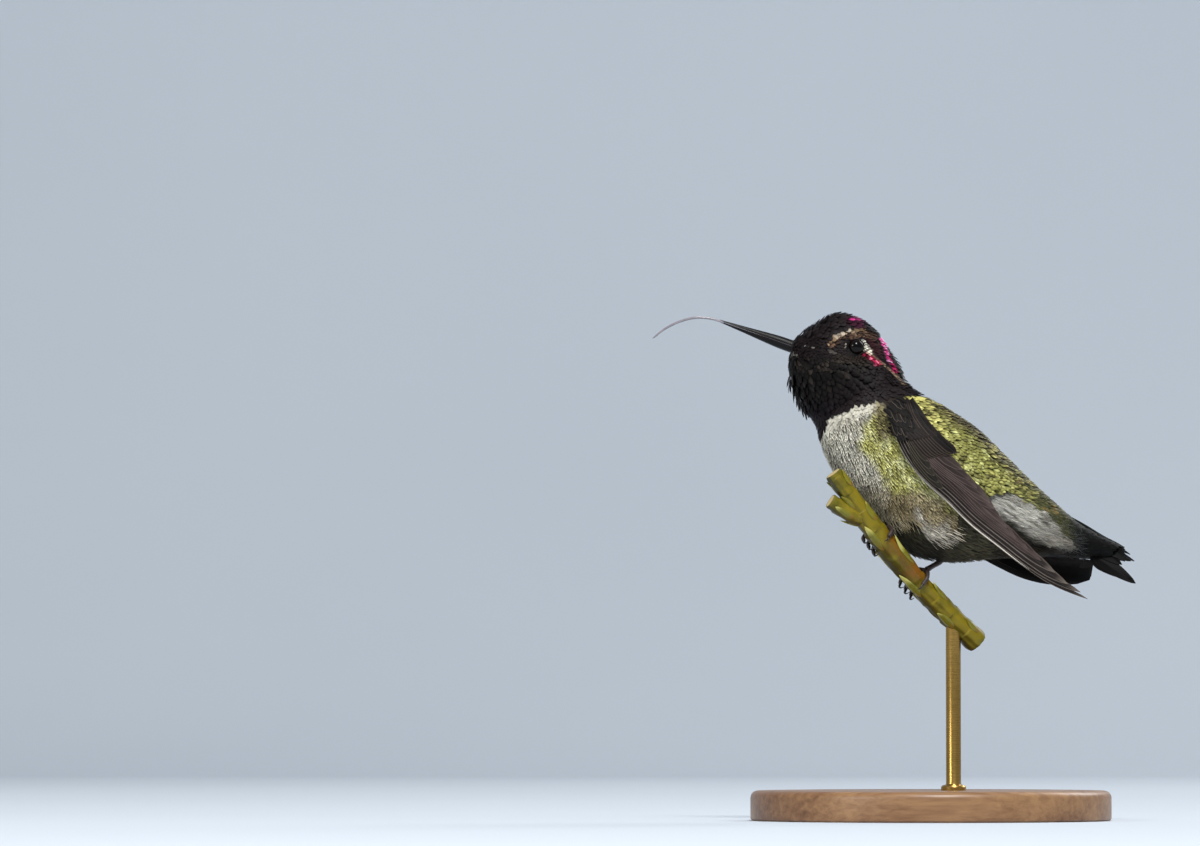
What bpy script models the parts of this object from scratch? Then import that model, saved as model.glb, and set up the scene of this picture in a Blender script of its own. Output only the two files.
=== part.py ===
"""A small crested hummingbird at rest on a cut twig, life size, on a plain display stand.

Sizes are in millimetres and are turned to metres as each mesh is finished. +Z is up, the
bird faces -X, its left side faces -Y, and the origin is the centre of the stand's underside.
"""
import math

import bmesh
import bpy
import numpy as np
from mathutils import Matrix, Vector
from mathutils.bvhtree import BVHTree

MM = 0.001
GAP = 0.3                 # clearance between two pieces that meet

# Body: each station is a ring through a point on the back line and one on the front line.
STATIONS = (
    # place           back x, z       front x, z      half width
    ("bill base",     -27.5, 96.0,    -28.0, 93.8,     1.5),
    ("forehead",      -24.2, 98.4,    -28.2, 91.2,     4.2),
    ("eye",           -18.2, 101.4,   -27.5, 87.2,     6.5),
    ("hind crown",    -11.6, 98.6,    -25.2, 82.5,     7.1),
    ("nape",           -6.4, 91.6,    -22.8, 78.6,     7.0),
    ("neck",           -4.4, 87.3,    -21.9, 75.2,     8.0),
    ("shoulder",        2.6, 82.7,    -18.5, 68.5,    10.3),
    ("breast",          9.4, 78.1,    -13.4, 61.2,    11.3),
    ("belly",          16.0, 71.7,     -6.4, 54.3,    10.5),
    ("thigh",          21.0, 66.8,      3.0, 51.7,     8.5),
    ("vent",           25.6, 62.6,     13.5, 52.4,     6.2),
    ("tail coverts",   29.8, 59.0,     23.0, 52.7,     4.4),
    ("covert tips",    33.4, 57.0,     30.6, 52.5,     3.0),
)
RINGS_PER_STATION = 3
BODY_SIDES = 28
EGG = 0.10                # how much fuller the front half of a ring is than the back half

# Cuts that part the body, each a plane across it given by its back and front ends (x, z).
CUT_HEAD_NECK = ((-7.0, 93.4), (-27.2, 85.6))
CUT_NECK_TRUNK = ((-2.0, 86.4), (-22.4, 75.4))
CUT_TRUNK_RUMP = ((24.2, 64.4), (8.6, 51.4))

EYE_PLACE = (-15.0, 94.3)
EYE_RADIUS = 1.7
EYE_PROUD = 0.5           # how far the ball stands out of the feathers

BILL_BASE = (-28.3, 94.95)
BILL_TIP = (-42.3, 99.95)
BILL_DEPTHS = (2.5, 2.4, 2.0, 1.45, 0.95)
BILL_WIDTHS = (2.6, 2.0, 1.6, 1.2, 0.7)

TONGUE_ROUTE = ((-42.75, 100.1), (-46.6, 100.5), (-50.1, 99.7), (-53.1, 98.2), (-55.5, 96.3))
TONGUE_RADII = (0.30, 0.25)

# Wing: a blade from wrist to tip, with its two edges measured across that line. The right wing
# is held a little flatter than the left, so its tip shows behind the left one.
WINGS = {
    # side: wrist, tip, leading edge, trailing edge
    "left": ((-8.0, 82.0), (31.3, 44.2), (-1.8, -4.9, -6.3, -6.1, -6.1, -5.4, -4.6, -3.2, -0.7),
             (2.1, 3.6, 2.9, 1.4, 0.6, -0.8, -0.6, -0.2, 0.0)),
    "right": ((-9.5, 79.2), (31.4, 48.7), (-1.8, -4.8, -6.8, -7.6, -8.2, -8.4, -7.5, -5.4, -1.0),
              (2.1, 3.4, 3.2, 2.4, 2.2, 2.4, 3.0, 3.2, 1.6)),
}
WING_OUT = (8.8, 10.6, 11.9, 12.2, 11.7, 10.5, 9.1, 7.7, 6.4)
WING_THICK = (1.1, 1.6, 1.5, 1.2, 1.0, 0.9, 0.8, 0.7, 0.6)
WING_RINGS = 22
WING_ARC = 7              # points across each face of the blade
WING_CAMBER = 0.9
WING_CLEARANCE = 0.45

# Tail: a closed fan of stiff feathers, forked, with shorter outer feathers folded under.
TAIL_ROOT = (33.1, 57.5)
TAIL_SLOPE = math.radians(-29.0)
TAIL_ROLL = math.radians(21.0)
TAIL_STARTS = (1.1, 1.1, 1.1, 1.0, 0.2, -1.2)    # from the middle feather to the outermost
TAIL_ENDS = (6.2, 8.3, 10.3, 9.9, 6.8, 1.2)
TAIL_HALF_WIDTH = (3.0, 6.5)
TAIL_DROP = 6.1
TAIL_FOLD = 1.15          # 1 is a sharp roof and 2 a round arch
TAIL_THICK = 0.8
TAIL_ACROSS = 20
TAIL_ALONG = 6

# Twig: main stem from its lower cut end to its upper cut end, with a thinner side stem.
STEM_ROUTE = ((9.5, 3.0, 35.5), (3.4, 0.2, 41.4), (-2.9, -3.8, 47.6), (-10.6, -9.4, 56.4),
              (-15.4, -11.4, 63.0), (-19.8, -12.6, 68.9))
STEM_RADII = (2.3, 2.25, 2.2, 2.3, 1.9, 1.75)
SIDE_STEM_ROUTE = ((-13.0, -10.6, 59.8), (-16.0, -11.7, 60.6), (-20.4, -12.8, 63.4))
SIDE_STEM_RADII = (1.5, 1.65, 1.55)
STEM_SIDES = 14

# Legs: a short bare shank to a foot that grips the stem, three toes one way and one the other.
TOE_RADIUS = 0.42
CLAW_RADIUS = 0.16
SHANK_RADIUS = 0.55
PALM_RADIUS = 0.8
FRONT_TOE_SWEEP = math.radians(192.0)
HIND_TOE_SWEEP = math.radians(128.0)
TOE_SPREADS = (-1.8, 0.0, 1.8)
TOE_SIDES = 7
TOE_STEPS = 10
LEGS = {
    # side: (where on the stem, towards the belly, where the shank leaves the belly)
    "left": (0.595, (0.54, 0.62, 0.58), (-7.4, -5.2, 57.2)),
    "right": (0.40, (0.70, 0.30, 0.66), (2.0, -0.2, 51.0)),
}

STAND_RADIUS = 36.0
STAND_HEIGHT = 6.0
STAND_EDGE = 1.4
STAND_FOOT_EDGE = 0.4
STAND_SEGMENTS = 56
ROD_RADIUS = 1.5
ROD_PLACE = (4.6, 0.9)
ROD_TOP = 40.2            # inside the stem, so that the rod ends in a saddle under it
ROD_SIDES = 16

MATERIALS = {
    # name: colour, roughness, metallic
    "dark_feather": ((0.050, 0.035, 0.038), 0.55, 0.0),
    "green_feather": ((0.230, 0.260, 0.080), 0.50, 0.2),
    "pale_feather": ((0.330, 0.330, 0.250), 0.80, 0.0),
    "wing_feather": ((0.090, 0.070, 0.072), 0.55, 0.0),
    "tail_feather": ((0.020, 0.020, 0.022), 0.50, 0.0),
    "bill_horn": ((0.015, 0.013, 0.012), 0.35, 0.0),
    "tongue": ((0.420, 0.340, 0.360), 0.30, 0.0),
    "eye": ((0.006, 0.005, 0.005), 0.05, 0.0),
    "foot_skin": ((0.045, 0.032, 0.030), 0.60, 0.0),
    "twig_bark": ((0.300, 0.280, 0.050), 0.65, 0.0),
    "stand_wood": ((0.330, 0.210, 0.120), 0.55, 0.0),
    "stand_metal": ((0.560, 0.440, 0.240), 0.30, 1.0),
}


def spline(rows, u):
    """The smooth curve through evenly spaced rows, with u running from 0 to 1."""
    rows = np.asarray(rows, dtype=float)
    padded = np.concatenate([2 * rows[:1] - rows[1:2], rows, 2 * rows[-1:] - rows[-2:-1]])
    place = min(max(u, 0.0), 1.0) * (len(rows) - 1)
    k = min(int(place), len(rows) - 2)
    f = place - k
    a, b, c, d = padded[k:k + 4]
    return b + 0.5 * f * (c - a + f * (2 * a - 5 * b + 4 * c - d + f * (3 * (b - c) + d - a)))


def loft(rings):
    """One closed body over rings that have the same number of points."""
    bm = bmesh.new()
    loops = []
    for ring in rings:
        verts = [bm.verts.new(point) for point in ring]
        loops.append([bm.edges.new(pair) for pair in zip(verts, verts[1:] + verts[:1])])
    for first, second in zip(loops, loops[1:]):
        bmesh.ops.bridge_loops(bm, edges=first + second)
    bmesh.ops.edgeloop_fill(bm, edges=loops[0])
    bmesh.ops.edgeloop_fill(bm, edges=loops[-1])
    bmesh.ops.recalc_face_normals(bm, faces=bm.faces[:])
    return bm


def tube(points, radii, sides):
    """A round tube of changing radius along a route of points."""
    points = [Vector(point) for point in points]
    side = Vector((0.1, 1.0, 0.2))
    rings = []
    for k, (point, radius) in enumerate(zip(points, radii)):
        along = (points[min(k + 1, len(points) - 1)] - points[max(k - 1, 0)]).normalized()
        side = (side - along * side.dot(along)).normalized()
        up = along.cross(side)
        turns = [2 * math.pi * step / sides for step in range(sides)]
        rings.append([point + (side * math.cos(t) + up * math.sin(t)) * radius for t in turns])
    return loft(rings)


def add_material(obj, name):
    material = bpy.data.materials.get(name)
    if material is None:
        colour, roughness, metallic = MATERIALS[name]
        material = bpy.data.materials.new(name)
        material.use_nodes = True
        shader = material.node_tree.nodes["Principled BSDF"]
        shader.inputs["Base Color"].default_value = (*colour, 1.0)
        shader.inputs["Roughness"].default_value = roughness
        shader.inputs["Metallic"].default_value = metallic
    obj.data.materials.append(material)


def add_piece(name, bm, material, smooth_degrees=40.0):
    """A named object in metres from a mesh in millimetres."""
    bm.transform(Matrix.Scale(MM, 4))
    mesh = bpy.data.meshes.new(name)
    bm.to_mesh(mesh)
    bm.free()
    mesh.shade_smooth()
    mesh.set_sharp_from_angle(angle=math.radians(smooth_degrees))
    obj = bpy.data.objects.new(name, mesh)
    bpy.context.scene.collection.objects.link(obj)
    add_material(obj, material)
    return obj


def add_helper(name, bm, material):
    """A shape that only cuts or joins: drawn as wire and not part of the model."""
    obj = add_piece(name, bm, material)
    obj.hide_render = True
    obj.display_type = "WIRE"
    return obj


def boolean(obj, helper, operation):
    modifier = obj.modifiers.new(helper.name, "BOOLEAN")
    modifier.operation = operation
    modifier.solver = "EXACT"
    modifier.object = helper


def body_ring(u):
    back_x, back_z, front_x, front_z, half_width = spline([row[1:] for row in STATIONS], u)
    centre = Vector((back_x + front_x, 0.0, back_z + front_z)) / 2
    reach = Vector((back_x - front_x, 0.0, back_z - front_z)) / 2
    ring = []
    for step in range(BODY_SIDES):
        turn = 2 * math.pi * step / BODY_SIDES
        width = half_width * math.sin(turn) * (1 - EGG * math.cos(turn))
        ring.append(centre + reach * math.cos(turn) + Vector((0.0, width, 0.0)))
    return ring


def whole_body():
    count = RINGS_PER_STATION * (len(STATIONS) - 1)
    return loft([body_ring(k / count) for k in range(count + 1)])


def cut_away(bm, cut, keep_forward):
    """Cuts a body across and keeps the part on one side of the cut, half a gap away from it."""
    (back_x, back_z), (front_x, front_z) = cut
    along = Vector((back_x - front_x, 0.0, back_z - front_z)).normalized()
    rearward = Vector((along.z, 0.0, -along.x))
    outward = rearward if keep_forward else -rearward
    place = Vector((back_x, 0.0, back_z)) - outward * GAP / 2
    everything = bm.verts[:] + bm.edges[:] + bm.faces[:]
    cut_edges = bmesh.ops.bisect_plane(bm, geom=everything, plane_co=place, plane_no=outward,
                                       dist=0.001, clear_outer=True)["geom_cut"]
    rim = [item for item in cut_edges if isinstance(item, bmesh.types.BMEdge)]
    bmesh.ops.edgeloop_fill(bm, edges=rim)
    bmesh.ops.recalc_face_normals(bm, faces=bm.faces[:])


def side_surface(tree, x, z):
    """How far out the left side of a body is at a place seen from that side, or 0 beside it."""
    hit = tree.ray_cast(Vector((x, -40.0, z)), Vector((0.0, 1.0, 0.0)))[0]
    return -hit.y if hit else 0.0


def make_body():
    tree_body = whole_body()
    tree = BVHTree.FromBMesh(tree_body)
    tree_body.free()
    head = whole_body()
    cut_away(head, CUT_HEAD_NECK, keep_forward=True)
    neck = whole_body()
    cut_away(neck, CUT_HEAD_NECK, keep_forward=False)
    cut_away(neck, CUT_NECK_TRUNK, keep_forward=True)
    trunk = whole_body()
    cut_away(trunk, CUT_NECK_TRUNK, keep_forward=False)
    cut_away(trunk, CUT_TRUNK_RUMP, keep_forward=True)
    rump = whole_body()
    cut_away(rump, CUT_TRUNK_RUMP, keep_forward=False)
    head = add_piece("head", head, "dark_feather")
    add_piece("neck", neck, "dark_feather")
    add_piece("trunk", trunk, "pale_feather")
    add_piece("rump", rump, "green_feather")
    return head, tree


def make_eyes(head, tree):
    """Round eyes in sockets that are a gap wider than the ball."""
    x, z = EYE_PLACE
    depth = side_surface(tree, x, z) + EYE_PROUD - EYE_RADIUS
    for side, y in (("left", -depth), ("right", depth)):
        place = Matrix.Translation((x, y, z)) @ Matrix.Rotation(math.pi / 2, 4, "X")
        for name, radius in (("eye_" + side, EYE_RADIUS), ("socket_" + side, EYE_RADIUS + GAP)):
            bm = bmesh.new()
            bmesh.ops.create_uvsphere(bm, u_segments=16, v_segments=10, radius=radius, matrix=place)
            if name.startswith("eye"):
                add_piece(name, bm, "eye", smooth_degrees=80.0)
            else:
                boolean(head, add_helper(name, bm, "dark_feather"), "DIFFERENCE")


def make_bill():
    """Two mandibles, flat where they meet, tapering to the tip."""
    base = Vector((BILL_BASE[0], 0.0, BILL_BASE[1]))
    along = Vector((BILL_TIP[0], 0.0, BILL_TIP[1])) - base
    up = Vector((0.0, 1.0, 0.0)).cross(along).normalized()
    base += along.normalized() * GAP
    along -= along.normalized() * GAP
    for name, way in (("bill_upper", 1.0), ("bill_lower", -1.0)):
        rings = []
        for k in range(9):
            u = k / 8
            depth = float(spline(BILL_DEPTHS, u)) / 2 - GAP / 2
            width = float(spline(BILL_WIDTHS, u)) / 2
            middle = base + along * u + up * way * GAP / 2
            turns = [math.pi * step / 8 for step in range(9)]
            rings.append([middle + up * way * depth * math.sin(t)
                          + Vector((0.0, width * math.cos(t), 0.0)) for t in turns])
        add_piece(name, loft(rings), "bill_horn", smooth_degrees=60.0)


def make_tongue():
    route = [spline([(x, 0.0, z) for x, z in TONGUE_ROUTE], k / 12) for k in range(13)]
    radii = [TONGUE_RADII[0] + (TONGUE_RADII[1] - TONGUE_RADII[0]) * k / 12 for k in range(13)]
    add_piece("tongue", tube(route, radii, 7), "tongue")


def wing_ring(tree, u, name, side):
    """A thin closed loop across the blade: its outer face, then its inner face back."""
    wrist_place, tip_place, leading_edge, trailing_edge = WINGS[name]
    wrist = Vector((wrist_place[0], 0.0, wrist_place[1]))
    along = Vector((tip_place[0], 0.0, tip_place[1])) - wrist
    across = Vector((-along.z, 0.0, along.x)).normalized()
    leading = float(spline(leading_edge, u))
    trailing = float(spline(trailing_edge, u))
    out = float(spline(WING_OUT, u))
    thick = float(spline(WING_THICK, u))
    outer = []
    inner = []
    for k in range(WING_ARC):
        f = k / (WING_ARC - 1)
        point = wrist + along * u + across * (leading + (trailing - leading) * f)
        curl = WING_CAMBER * (2 * f - 1) ** 2 * min(1.0, (trailing - leading) / 6)
        body = side_surface(tree, point.x, point.z)
        face = max(out - curl - thick, body + WING_CLEARANCE) if body else out - curl - thick
        edge = 0.55 + 0.45 * math.sin(math.pi * f) ** 0.5
        inner.append(Vector((point.x, face * side, point.z)))
        outer.append(Vector((point.x, (face + max(thick * edge, 0.55)) * side, point.z)))
    return outer + inner[::-1]


def make_wings(tree):
    for name, side in (("left", -1.0), ("right", 1.0)):
        rings = [wing_ring(tree, k / (WING_RINGS - 1), name, side) for k in range(WING_RINGS)]
        add_piece("wing_" + name, loft(rings), "wing_feather")


def make_tail():
    """A roof-shaped fan: a grid laid along the feathers, forked at its end, then thickened."""
    root = Vector((TAIL_ROOT[0], 0.0, TAIL_ROOT[1]))
    along = Vector((math.cos(TAIL_SLOPE), 0.0, math.sin(TAIL_SLOPE)))
    across = Vector((0.0, math.cos(TAIL_ROLL), math.sin(TAIL_ROLL)))
    up = along.cross(across)
    bm = bmesh.new()
    bmesh.ops.create_grid(bm, x_segments=TAIL_ACROSS, y_segments=TAIL_ALONG, size=1.0)
    for vert in bm.verts:
        u = vert.co.x
        v = (vert.co.y + 1) / 2
        start = float(spline(TAIL_STARTS, abs(u)))
        s = start + (float(spline(TAIL_ENDS, abs(u))) - start) * v
        widening = max(s, 0.0) / max(TAIL_ENDS)
        half = TAIL_HALF_WIDTH[0] + (TAIL_HALF_WIDTH[1] - TAIL_HALF_WIDTH[0]) * widening
        fall = TAIL_DROP * abs(u) ** TAIL_FOLD
        vert.co = root + along * s + across * half * math.sin(u * 1.35) / math.sin(1.35) - up * fall
    bmesh.ops.recalc_face_normals(bm, faces=bm.faces[:])
    bmesh.ops.solidify(bm, geom=bm.faces[:], thickness=TAIL_THICK)
    bmesh.ops.recalc_face_normals(bm, faces=bm.faces[:])
    add_piece("tail", bm, "tail_feather")


def stem_tube(route, radii, extra, rings):
    steps = [k / (rings - 1) for k in range(rings)]
    return tube([spline(route, u) for u in steps],
                [float(spline(radii, u)) + extra for u in steps], STEM_SIDES)


def make_twig():
    stem = add_piece("perch", stem_tube(STEM_ROUTE, STEM_RADII, 0.0, 16), "twig_bark")
    side = stem_tube(SIDE_STEM_ROUTE, SIDE_STEM_RADII, 0.0, 7)
    boolean(stem, add_helper("side_stem", side, "twig_bark"), "UNION")


def toe_route(centre, axis, palm, reach, sweep, spread):
    """A toe bent round the stem from the palm, ending in a claw that hooks clear of the bark."""
    beside = axis.cross(palm)
    route = []
    for k in range(TOE_STEPS + 1):
        f = k / TOE_STEPS
        turn = sweep * f
        clear = reach + 0.55 * max(0.0, f - 0.8) / 0.2 * (1.0 - max(0.0, f - 0.9) / 0.2)
        clear += 0.3 * max(0.0, 1.0 - f * 8)
        route.append(centre + axis * spread * math.sin(0.12 + f * math.pi * 0.6)
                     + (palm * math.cos(turn) + beside * math.sin(turn)) * clear)
    return route


def toe_radii():
    """Full thickness for most of the toe, then a claw down to a point."""
    radii = []
    for k in range(TOE_STEPS + 1):
        claw = max(0.0, k / TOE_STEPS - 0.72) / 0.28
        radii.append(TOE_RADIUS + (CLAW_RADIUS - TOE_RADIUS) * claw)
    return radii


def make_leg(side, tree):
    where, towards_belly, belly = LEGS[side]
    centre = Vector(spline(STEM_ROUTE, where))
    axis = Vector(spline(STEM_ROUTE, where + 0.02) - spline(STEM_ROUTE, where - 0.02)).normalized()
    palm = Vector(towards_belly)
    palm = (palm - axis * palm.dot(axis)).normalized()
    far_side = Vector((0.0, 1.0, 0.0))
    if axis.cross(palm).dot(far_side) < 0:
        axis = -axis
    reach = float(spline(STEM_RADII, where)) + GAP + TOE_RADIUS
    sole = centre + palm * (reach - TOE_RADIUS + PALM_RADIUS)
    skin, outward = tree.find_nearest(Vector(belly))[:2]
    shank_top = skin + outward * (GAP + SHANK_RADIUS / 2)
    shank = [sole, sole.lerp(shank_top, 0.5), shank_top]
    leg = add_piece("leg_" + side, tube(shank, (SHANK_RADIUS,) * 3, 9), "foot_skin")
    ball = bmesh.new()
    bmesh.ops.create_icosphere(ball, subdivisions=2, radius=PALM_RADIUS,
                               matrix=Matrix.Translation(sole))
    boolean(leg, add_helper("palm_" + side, ball, "foot_skin"), "UNION")
    toes = [(FRONT_TOE_SWEEP, spread) for spread in TOE_SPREADS] + [(-HIND_TOE_SWEEP, 0.0)]
    for number, (sweep, spread) in enumerate(toes):
        route = toe_route(centre, axis, palm, reach, sweep, spread)
        toe = tube(route, toe_radii(), TOE_SIDES)
        boolean(leg, add_helper(f"toe_{side}_{number}", toe, "foot_skin"), "UNION")


def make_stand():
    base = bmesh.new()
    bmesh.ops.create_cone(base, cap_ends=True, segments=STAND_SEGMENTS, radius1=STAND_RADIUS,
                          radius2=STAND_RADIUS, depth=STAND_HEIGHT,
                          matrix=Matrix.Translation((0.0, 0.0, STAND_HEIGHT / 2)))
    for level, width, segments in ((STAND_HEIGHT, STAND_EDGE, 3), (0.0, STAND_FOOT_EDGE, 1)):
        rim = [edge for edge in base.edges
               if all(abs(vert.co.z - level) < 0.01 for vert in edge.verts)]
        bmesh.ops.bevel(base, geom=rim, offset=width, segments=segments, profile=0.5,
                        affect="EDGES", material=-1)
    add_piece("stand_base", base, "stand_wood")

    rod = bmesh.new()
    low = STAND_HEIGHT + GAP
    bmesh.ops.create_cone(rod, cap_ends=True, segments=ROD_SIDES, radius1=ROD_RADIUS,
                          radius2=ROD_RADIUS, depth=ROD_TOP - low,
                          matrix=Matrix.Translation((*ROD_PLACE, (low + ROD_TOP) / 2)))
    rod = add_piece("stand_rod", rod, "stand_metal")
    seat = stem_tube(STEM_ROUTE, STEM_RADII, GAP, 16)
    boolean(rod, add_helper("rod_seat", seat, "stand_metal"), "DIFFERENCE")


for old in list(bpy.data.objects):
    bpy.data.objects.remove(old, do_unlink=True)

head_object, body_tree = make_body()
make_eyes(head_object, body_tree)
make_bill()
make_tongue()
make_wings(body_tree)
make_tail()
make_twig()
make_leg("left", body_tree)
make_leg("right", body_tree)
make_stand()
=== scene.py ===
import math

import bmesh
import bpy
import numpy as np
from mathutils import Matrix, Vector
from mathutils.bvhtree import BVHTree


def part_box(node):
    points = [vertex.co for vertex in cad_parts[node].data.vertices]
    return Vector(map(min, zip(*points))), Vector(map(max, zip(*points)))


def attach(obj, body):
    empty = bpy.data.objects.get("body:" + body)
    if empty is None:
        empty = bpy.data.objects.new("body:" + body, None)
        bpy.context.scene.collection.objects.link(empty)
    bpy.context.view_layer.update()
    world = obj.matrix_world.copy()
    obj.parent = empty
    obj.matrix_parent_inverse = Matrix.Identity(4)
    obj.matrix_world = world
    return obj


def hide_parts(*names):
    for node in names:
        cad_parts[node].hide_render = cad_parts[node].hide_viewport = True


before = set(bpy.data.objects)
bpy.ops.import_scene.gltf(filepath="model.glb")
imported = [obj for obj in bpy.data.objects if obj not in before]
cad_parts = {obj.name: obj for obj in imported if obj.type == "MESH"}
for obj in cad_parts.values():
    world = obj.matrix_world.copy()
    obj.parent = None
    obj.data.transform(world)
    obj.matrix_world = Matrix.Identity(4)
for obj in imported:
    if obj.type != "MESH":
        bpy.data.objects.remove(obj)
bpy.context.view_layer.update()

MM = 0.001


# Studio: a sprayed hardboard sweep that runs from floor to wall in one curve, lit by three
# fabric soft boxes. It is matt, with the faint mottle that a spray gun leaves.
SWEEP_HALF_WIDTH = 2.4
SWEEP_FRONT = -2.2
SWEEP_BACK = 1.3
SWEEP_BEND = 0.5
SWEEP_BEND_STEPS = 16
SWEEP_HEIGHT = 2.6
SWEEP_PALE = "#D2DAE2"
SWEEP_SHADE = "#C9D2DB"
SOFT_BOXES = (
    # name, place in metres, power in watts, side in metres
    ("key", (0.15, -1.0, 1.50), 27.0, 0.45),
    ("fill", (-1.25, -1.0, 0.75), 6.0, 0.45),
    ("rim", (0.9, 0.9, 0.9), 8.0, 0.7),
)
LIGHTS_AIM = Vector((0.0, 0.0, 0.075))
AIR_COLOUR = "#EEF3FA"
AIR_STRENGTH = 0.36


def add_object(name, data):
    """An object in the scene for a mesh, a lamp or a camera."""
    made = bpy.data.objects.new(name, data)
    bpy.context.scene.collection.objects.link(made)
    return made


def linear(code):
    """The linear colour, with full alpha, of an sRGB hex code."""
    channels = [int(code[k:k + 2], 16) / 255 for k in (1, 3, 5)]
    return (*[c / 12.92 if c <= 0.04045 else ((c + 0.055) / 1.055) ** 2.4 for c in channels], 1.0)


def add_node(tree, kind, inputs=None, **settings):
    """One shader node with its settings, and its inputs as values, hex codes or sockets to link."""
    made = tree.nodes.new("ShaderNode" + kind)
    for name, value in settings.items():
        setattr(made, name, value)
    for name, value in (inputs or {}).items():
        if isinstance(value, bpy.types.NodeSocket):
            tree.links.new(value, made.inputs[name])
        else:
            made.inputs[name].default_value = linear(value) if isinstance(value, str) else value
    return made


def new_material(name, **even):
    """A material with a principled shader, whose even values are set on its own sockets."""
    made = bpy.data.materials.new(name)
    made.use_nodes = True
    shader = made.node_tree.nodes["Principled BSDF"]
    for socket, value in even.items():
        shader.inputs[socket.replace("_", " ")].default_value = value
    return made, made.node_tree, shader


def link_looks(tree, shader, colour, relief=None):
    """Links the nodes that give a shader its colour and, where there is one, its relief."""
    tree.links.new(colour, shader.inputs["Base Color"])
    if relief:
        tree.links.new(relief.outputs[0], shader.inputs["Normal"])


def two_tones(tree, vector, scale, detail, first, second):
    """Noise over a vector, and the colour that it draws out of two tones."""
    noise = add_node(tree, "TexNoise", {"Vector": vector, "Scale": scale, "Detail": detail})
    drawn_out = add_node(tree, "Mix", {0: noise.outputs["Fac"], 6: first, 7: second}, data_type="RGBA")
    return noise, drawn_out.outputs[2]


sweep = bmesh.new()
turns = [math.pi / 2 * k / SWEEP_BEND_STEPS for k in range(SWEEP_BEND_STEPS + 1)]
profile = [(SWEEP_FRONT, 0.0)]
profile += [(SWEEP_BACK + SWEEP_BEND * math.sin(t), SWEEP_BEND * (1 - math.cos(t))) for t in turns]
profile += [(SWEEP_BACK + SWEEP_BEND, SWEEP_HEIGHT)]
line = [sweep.verts.new((-SWEEP_HALF_WIDTH, y, z)) for y, z in profile]
edges = [sweep.edges.new(pair) for pair in zip(line, line[1:])]
pulled = bmesh.ops.extrude_edge_only(sweep, edges=edges)["geom"]
bmesh.ops.translate(sweep, vec=(2 * SWEEP_HALF_WIDTH, 0.0, 0.0),
                    verts=[item for item in pulled if isinstance(item, bmesh.types.BMVert)])
bmesh.ops.recalc_face_normals(sweep, faces=sweep.faces[:])
for face in sweep.faces:
    face.smooth = True
sweep_mesh = bpy.data.meshes.new("sweep")
sweep.to_mesh(sweep_mesh)
sweep.free()
paint, tree, shader = new_material("sprayed_board", Roughness=0.9)
coords = add_node(tree, "TexCoord").outputs["Object"]
link_looks(tree, shader, two_tones(tree, coords, 3.0, 3.0, SWEEP_PALE, SWEEP_SHADE)[1])
sweep_mesh.materials.append(paint)
add_object("sweep", sweep_mesh)

for name, spot, power, side in SOFT_BOXES:
    lamp = bpy.data.lights.new(name, "AREA")
    lamp.energy = power
    lamp.size = side
    lamp_object = add_object(name, lamp)
    lamp_object.location = spot
    lamp_object.rotation_euler = (LIGHTS_AIM - Vector(spot)).to_track_quat("-Z", "Y").to_euler()
air = bpy.data.worlds.new("studio_air")
air.use_nodes = True
air.node_tree.nodes["Background"].inputs["Color"].default_value = linear(AIR_COLOUR)
air.node_tree.nodes["Background"].inputs["Strength"].default_value = AIR_STRENGTH
bpy.context.scene.world = air
bpy.context.scene.view_settings.view_transform = "Standard"


# Camera: a long lens on a low tripod, square to the bird's left side and a little below it, with
# the bird to the right of its frame.
CAMERA_TARGET = Vector((-0.066, 0.0, 0.0794))
CAMERA_DISTANCE = 1.4
CAMERA_BELOW = math.radians(2.5)
CAMERA_CLIP = 0.05
FRAME_WIDTH = 0.240
SENSOR = 36.0
camera = add_object("camera", bpy.data.cameras.new("camera"))
away = Vector((0.0, -math.cos(CAMERA_BELOW), -math.sin(CAMERA_BELOW)))
camera.location = CAMERA_TARGET + away * CAMERA_DISTANCE
camera.rotation_euler = (-away).to_track_quat("-Z", "Y").to_euler()
camera.data.sensor_width = SENSOR
camera.data.lens = SENSOR * CAMERA_DISTANCE / FRAME_WIDTH
camera.data.clip_start = CAMERA_CLIP
bpy.context.scene.camera = camera


# Stand base: a disc of oiled walnut turned on a lathe from flat board, with a rounded top
# edge and two fine cut lines. The grain runs straight across it, so it shows as long streaks
# about a millimetre wide, in broader bands of light and dark wood.
BASE_PROFILE = ((0.0, 0.0), (35.6, 0.0), (36.0, 0.4), (36.0, 4.6), (35.85, 5.2), (35.5, 5.65),
                (35.0, 5.92), (34.6, 6.0), (31.6, 6.0), (31.4, 5.7), (31.2, 6.0), (30.6, 6.0),
                (30.4, 5.7), (30.2, 6.0), (0.0, 6.0))
BASE_STEPS = 128
WALNUT_PALE = "#A27A52"
WALNUT_DARK = "#6A4428"
WALNUT_STREAKS = (60.0, 900.0, 900.0)
WALNUT_BANDS = (9.0, 110.0, 110.0)


def turned(profile, steps):
    """A closed body from a profile of radius and height turned about the upright axis."""
    bm = bmesh.new()
    verts = [bm.verts.new((radius, 0.0, height)) for radius, height in profile]
    edges = [bm.edges.new(pair) for pair in zip(verts, verts[1:])]
    bmesh.ops.spin(bm, geom=verts + edges, cent=(0, 0, 0), axis=(0, 0, 1), angle=2 * math.pi,
                   steps=steps, use_merge=True)
    bmesh.ops.remove_doubles(bm, verts=bm.verts[:], dist=0.001)
    bmesh.ops.recalc_face_normals(bm, faces=bm.faces[:])
    return bm


def finished(name, mesh, material, smooth_degrees):
    """An object from a mesh, shaded smooth where its faces meet at less than an angle."""
    mesh.shade_smooth()
    mesh.set_sharp_from_angle(angle=math.radians(smooth_degrees))
    mesh.materials.append(material)
    return add_object(name, mesh)


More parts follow.
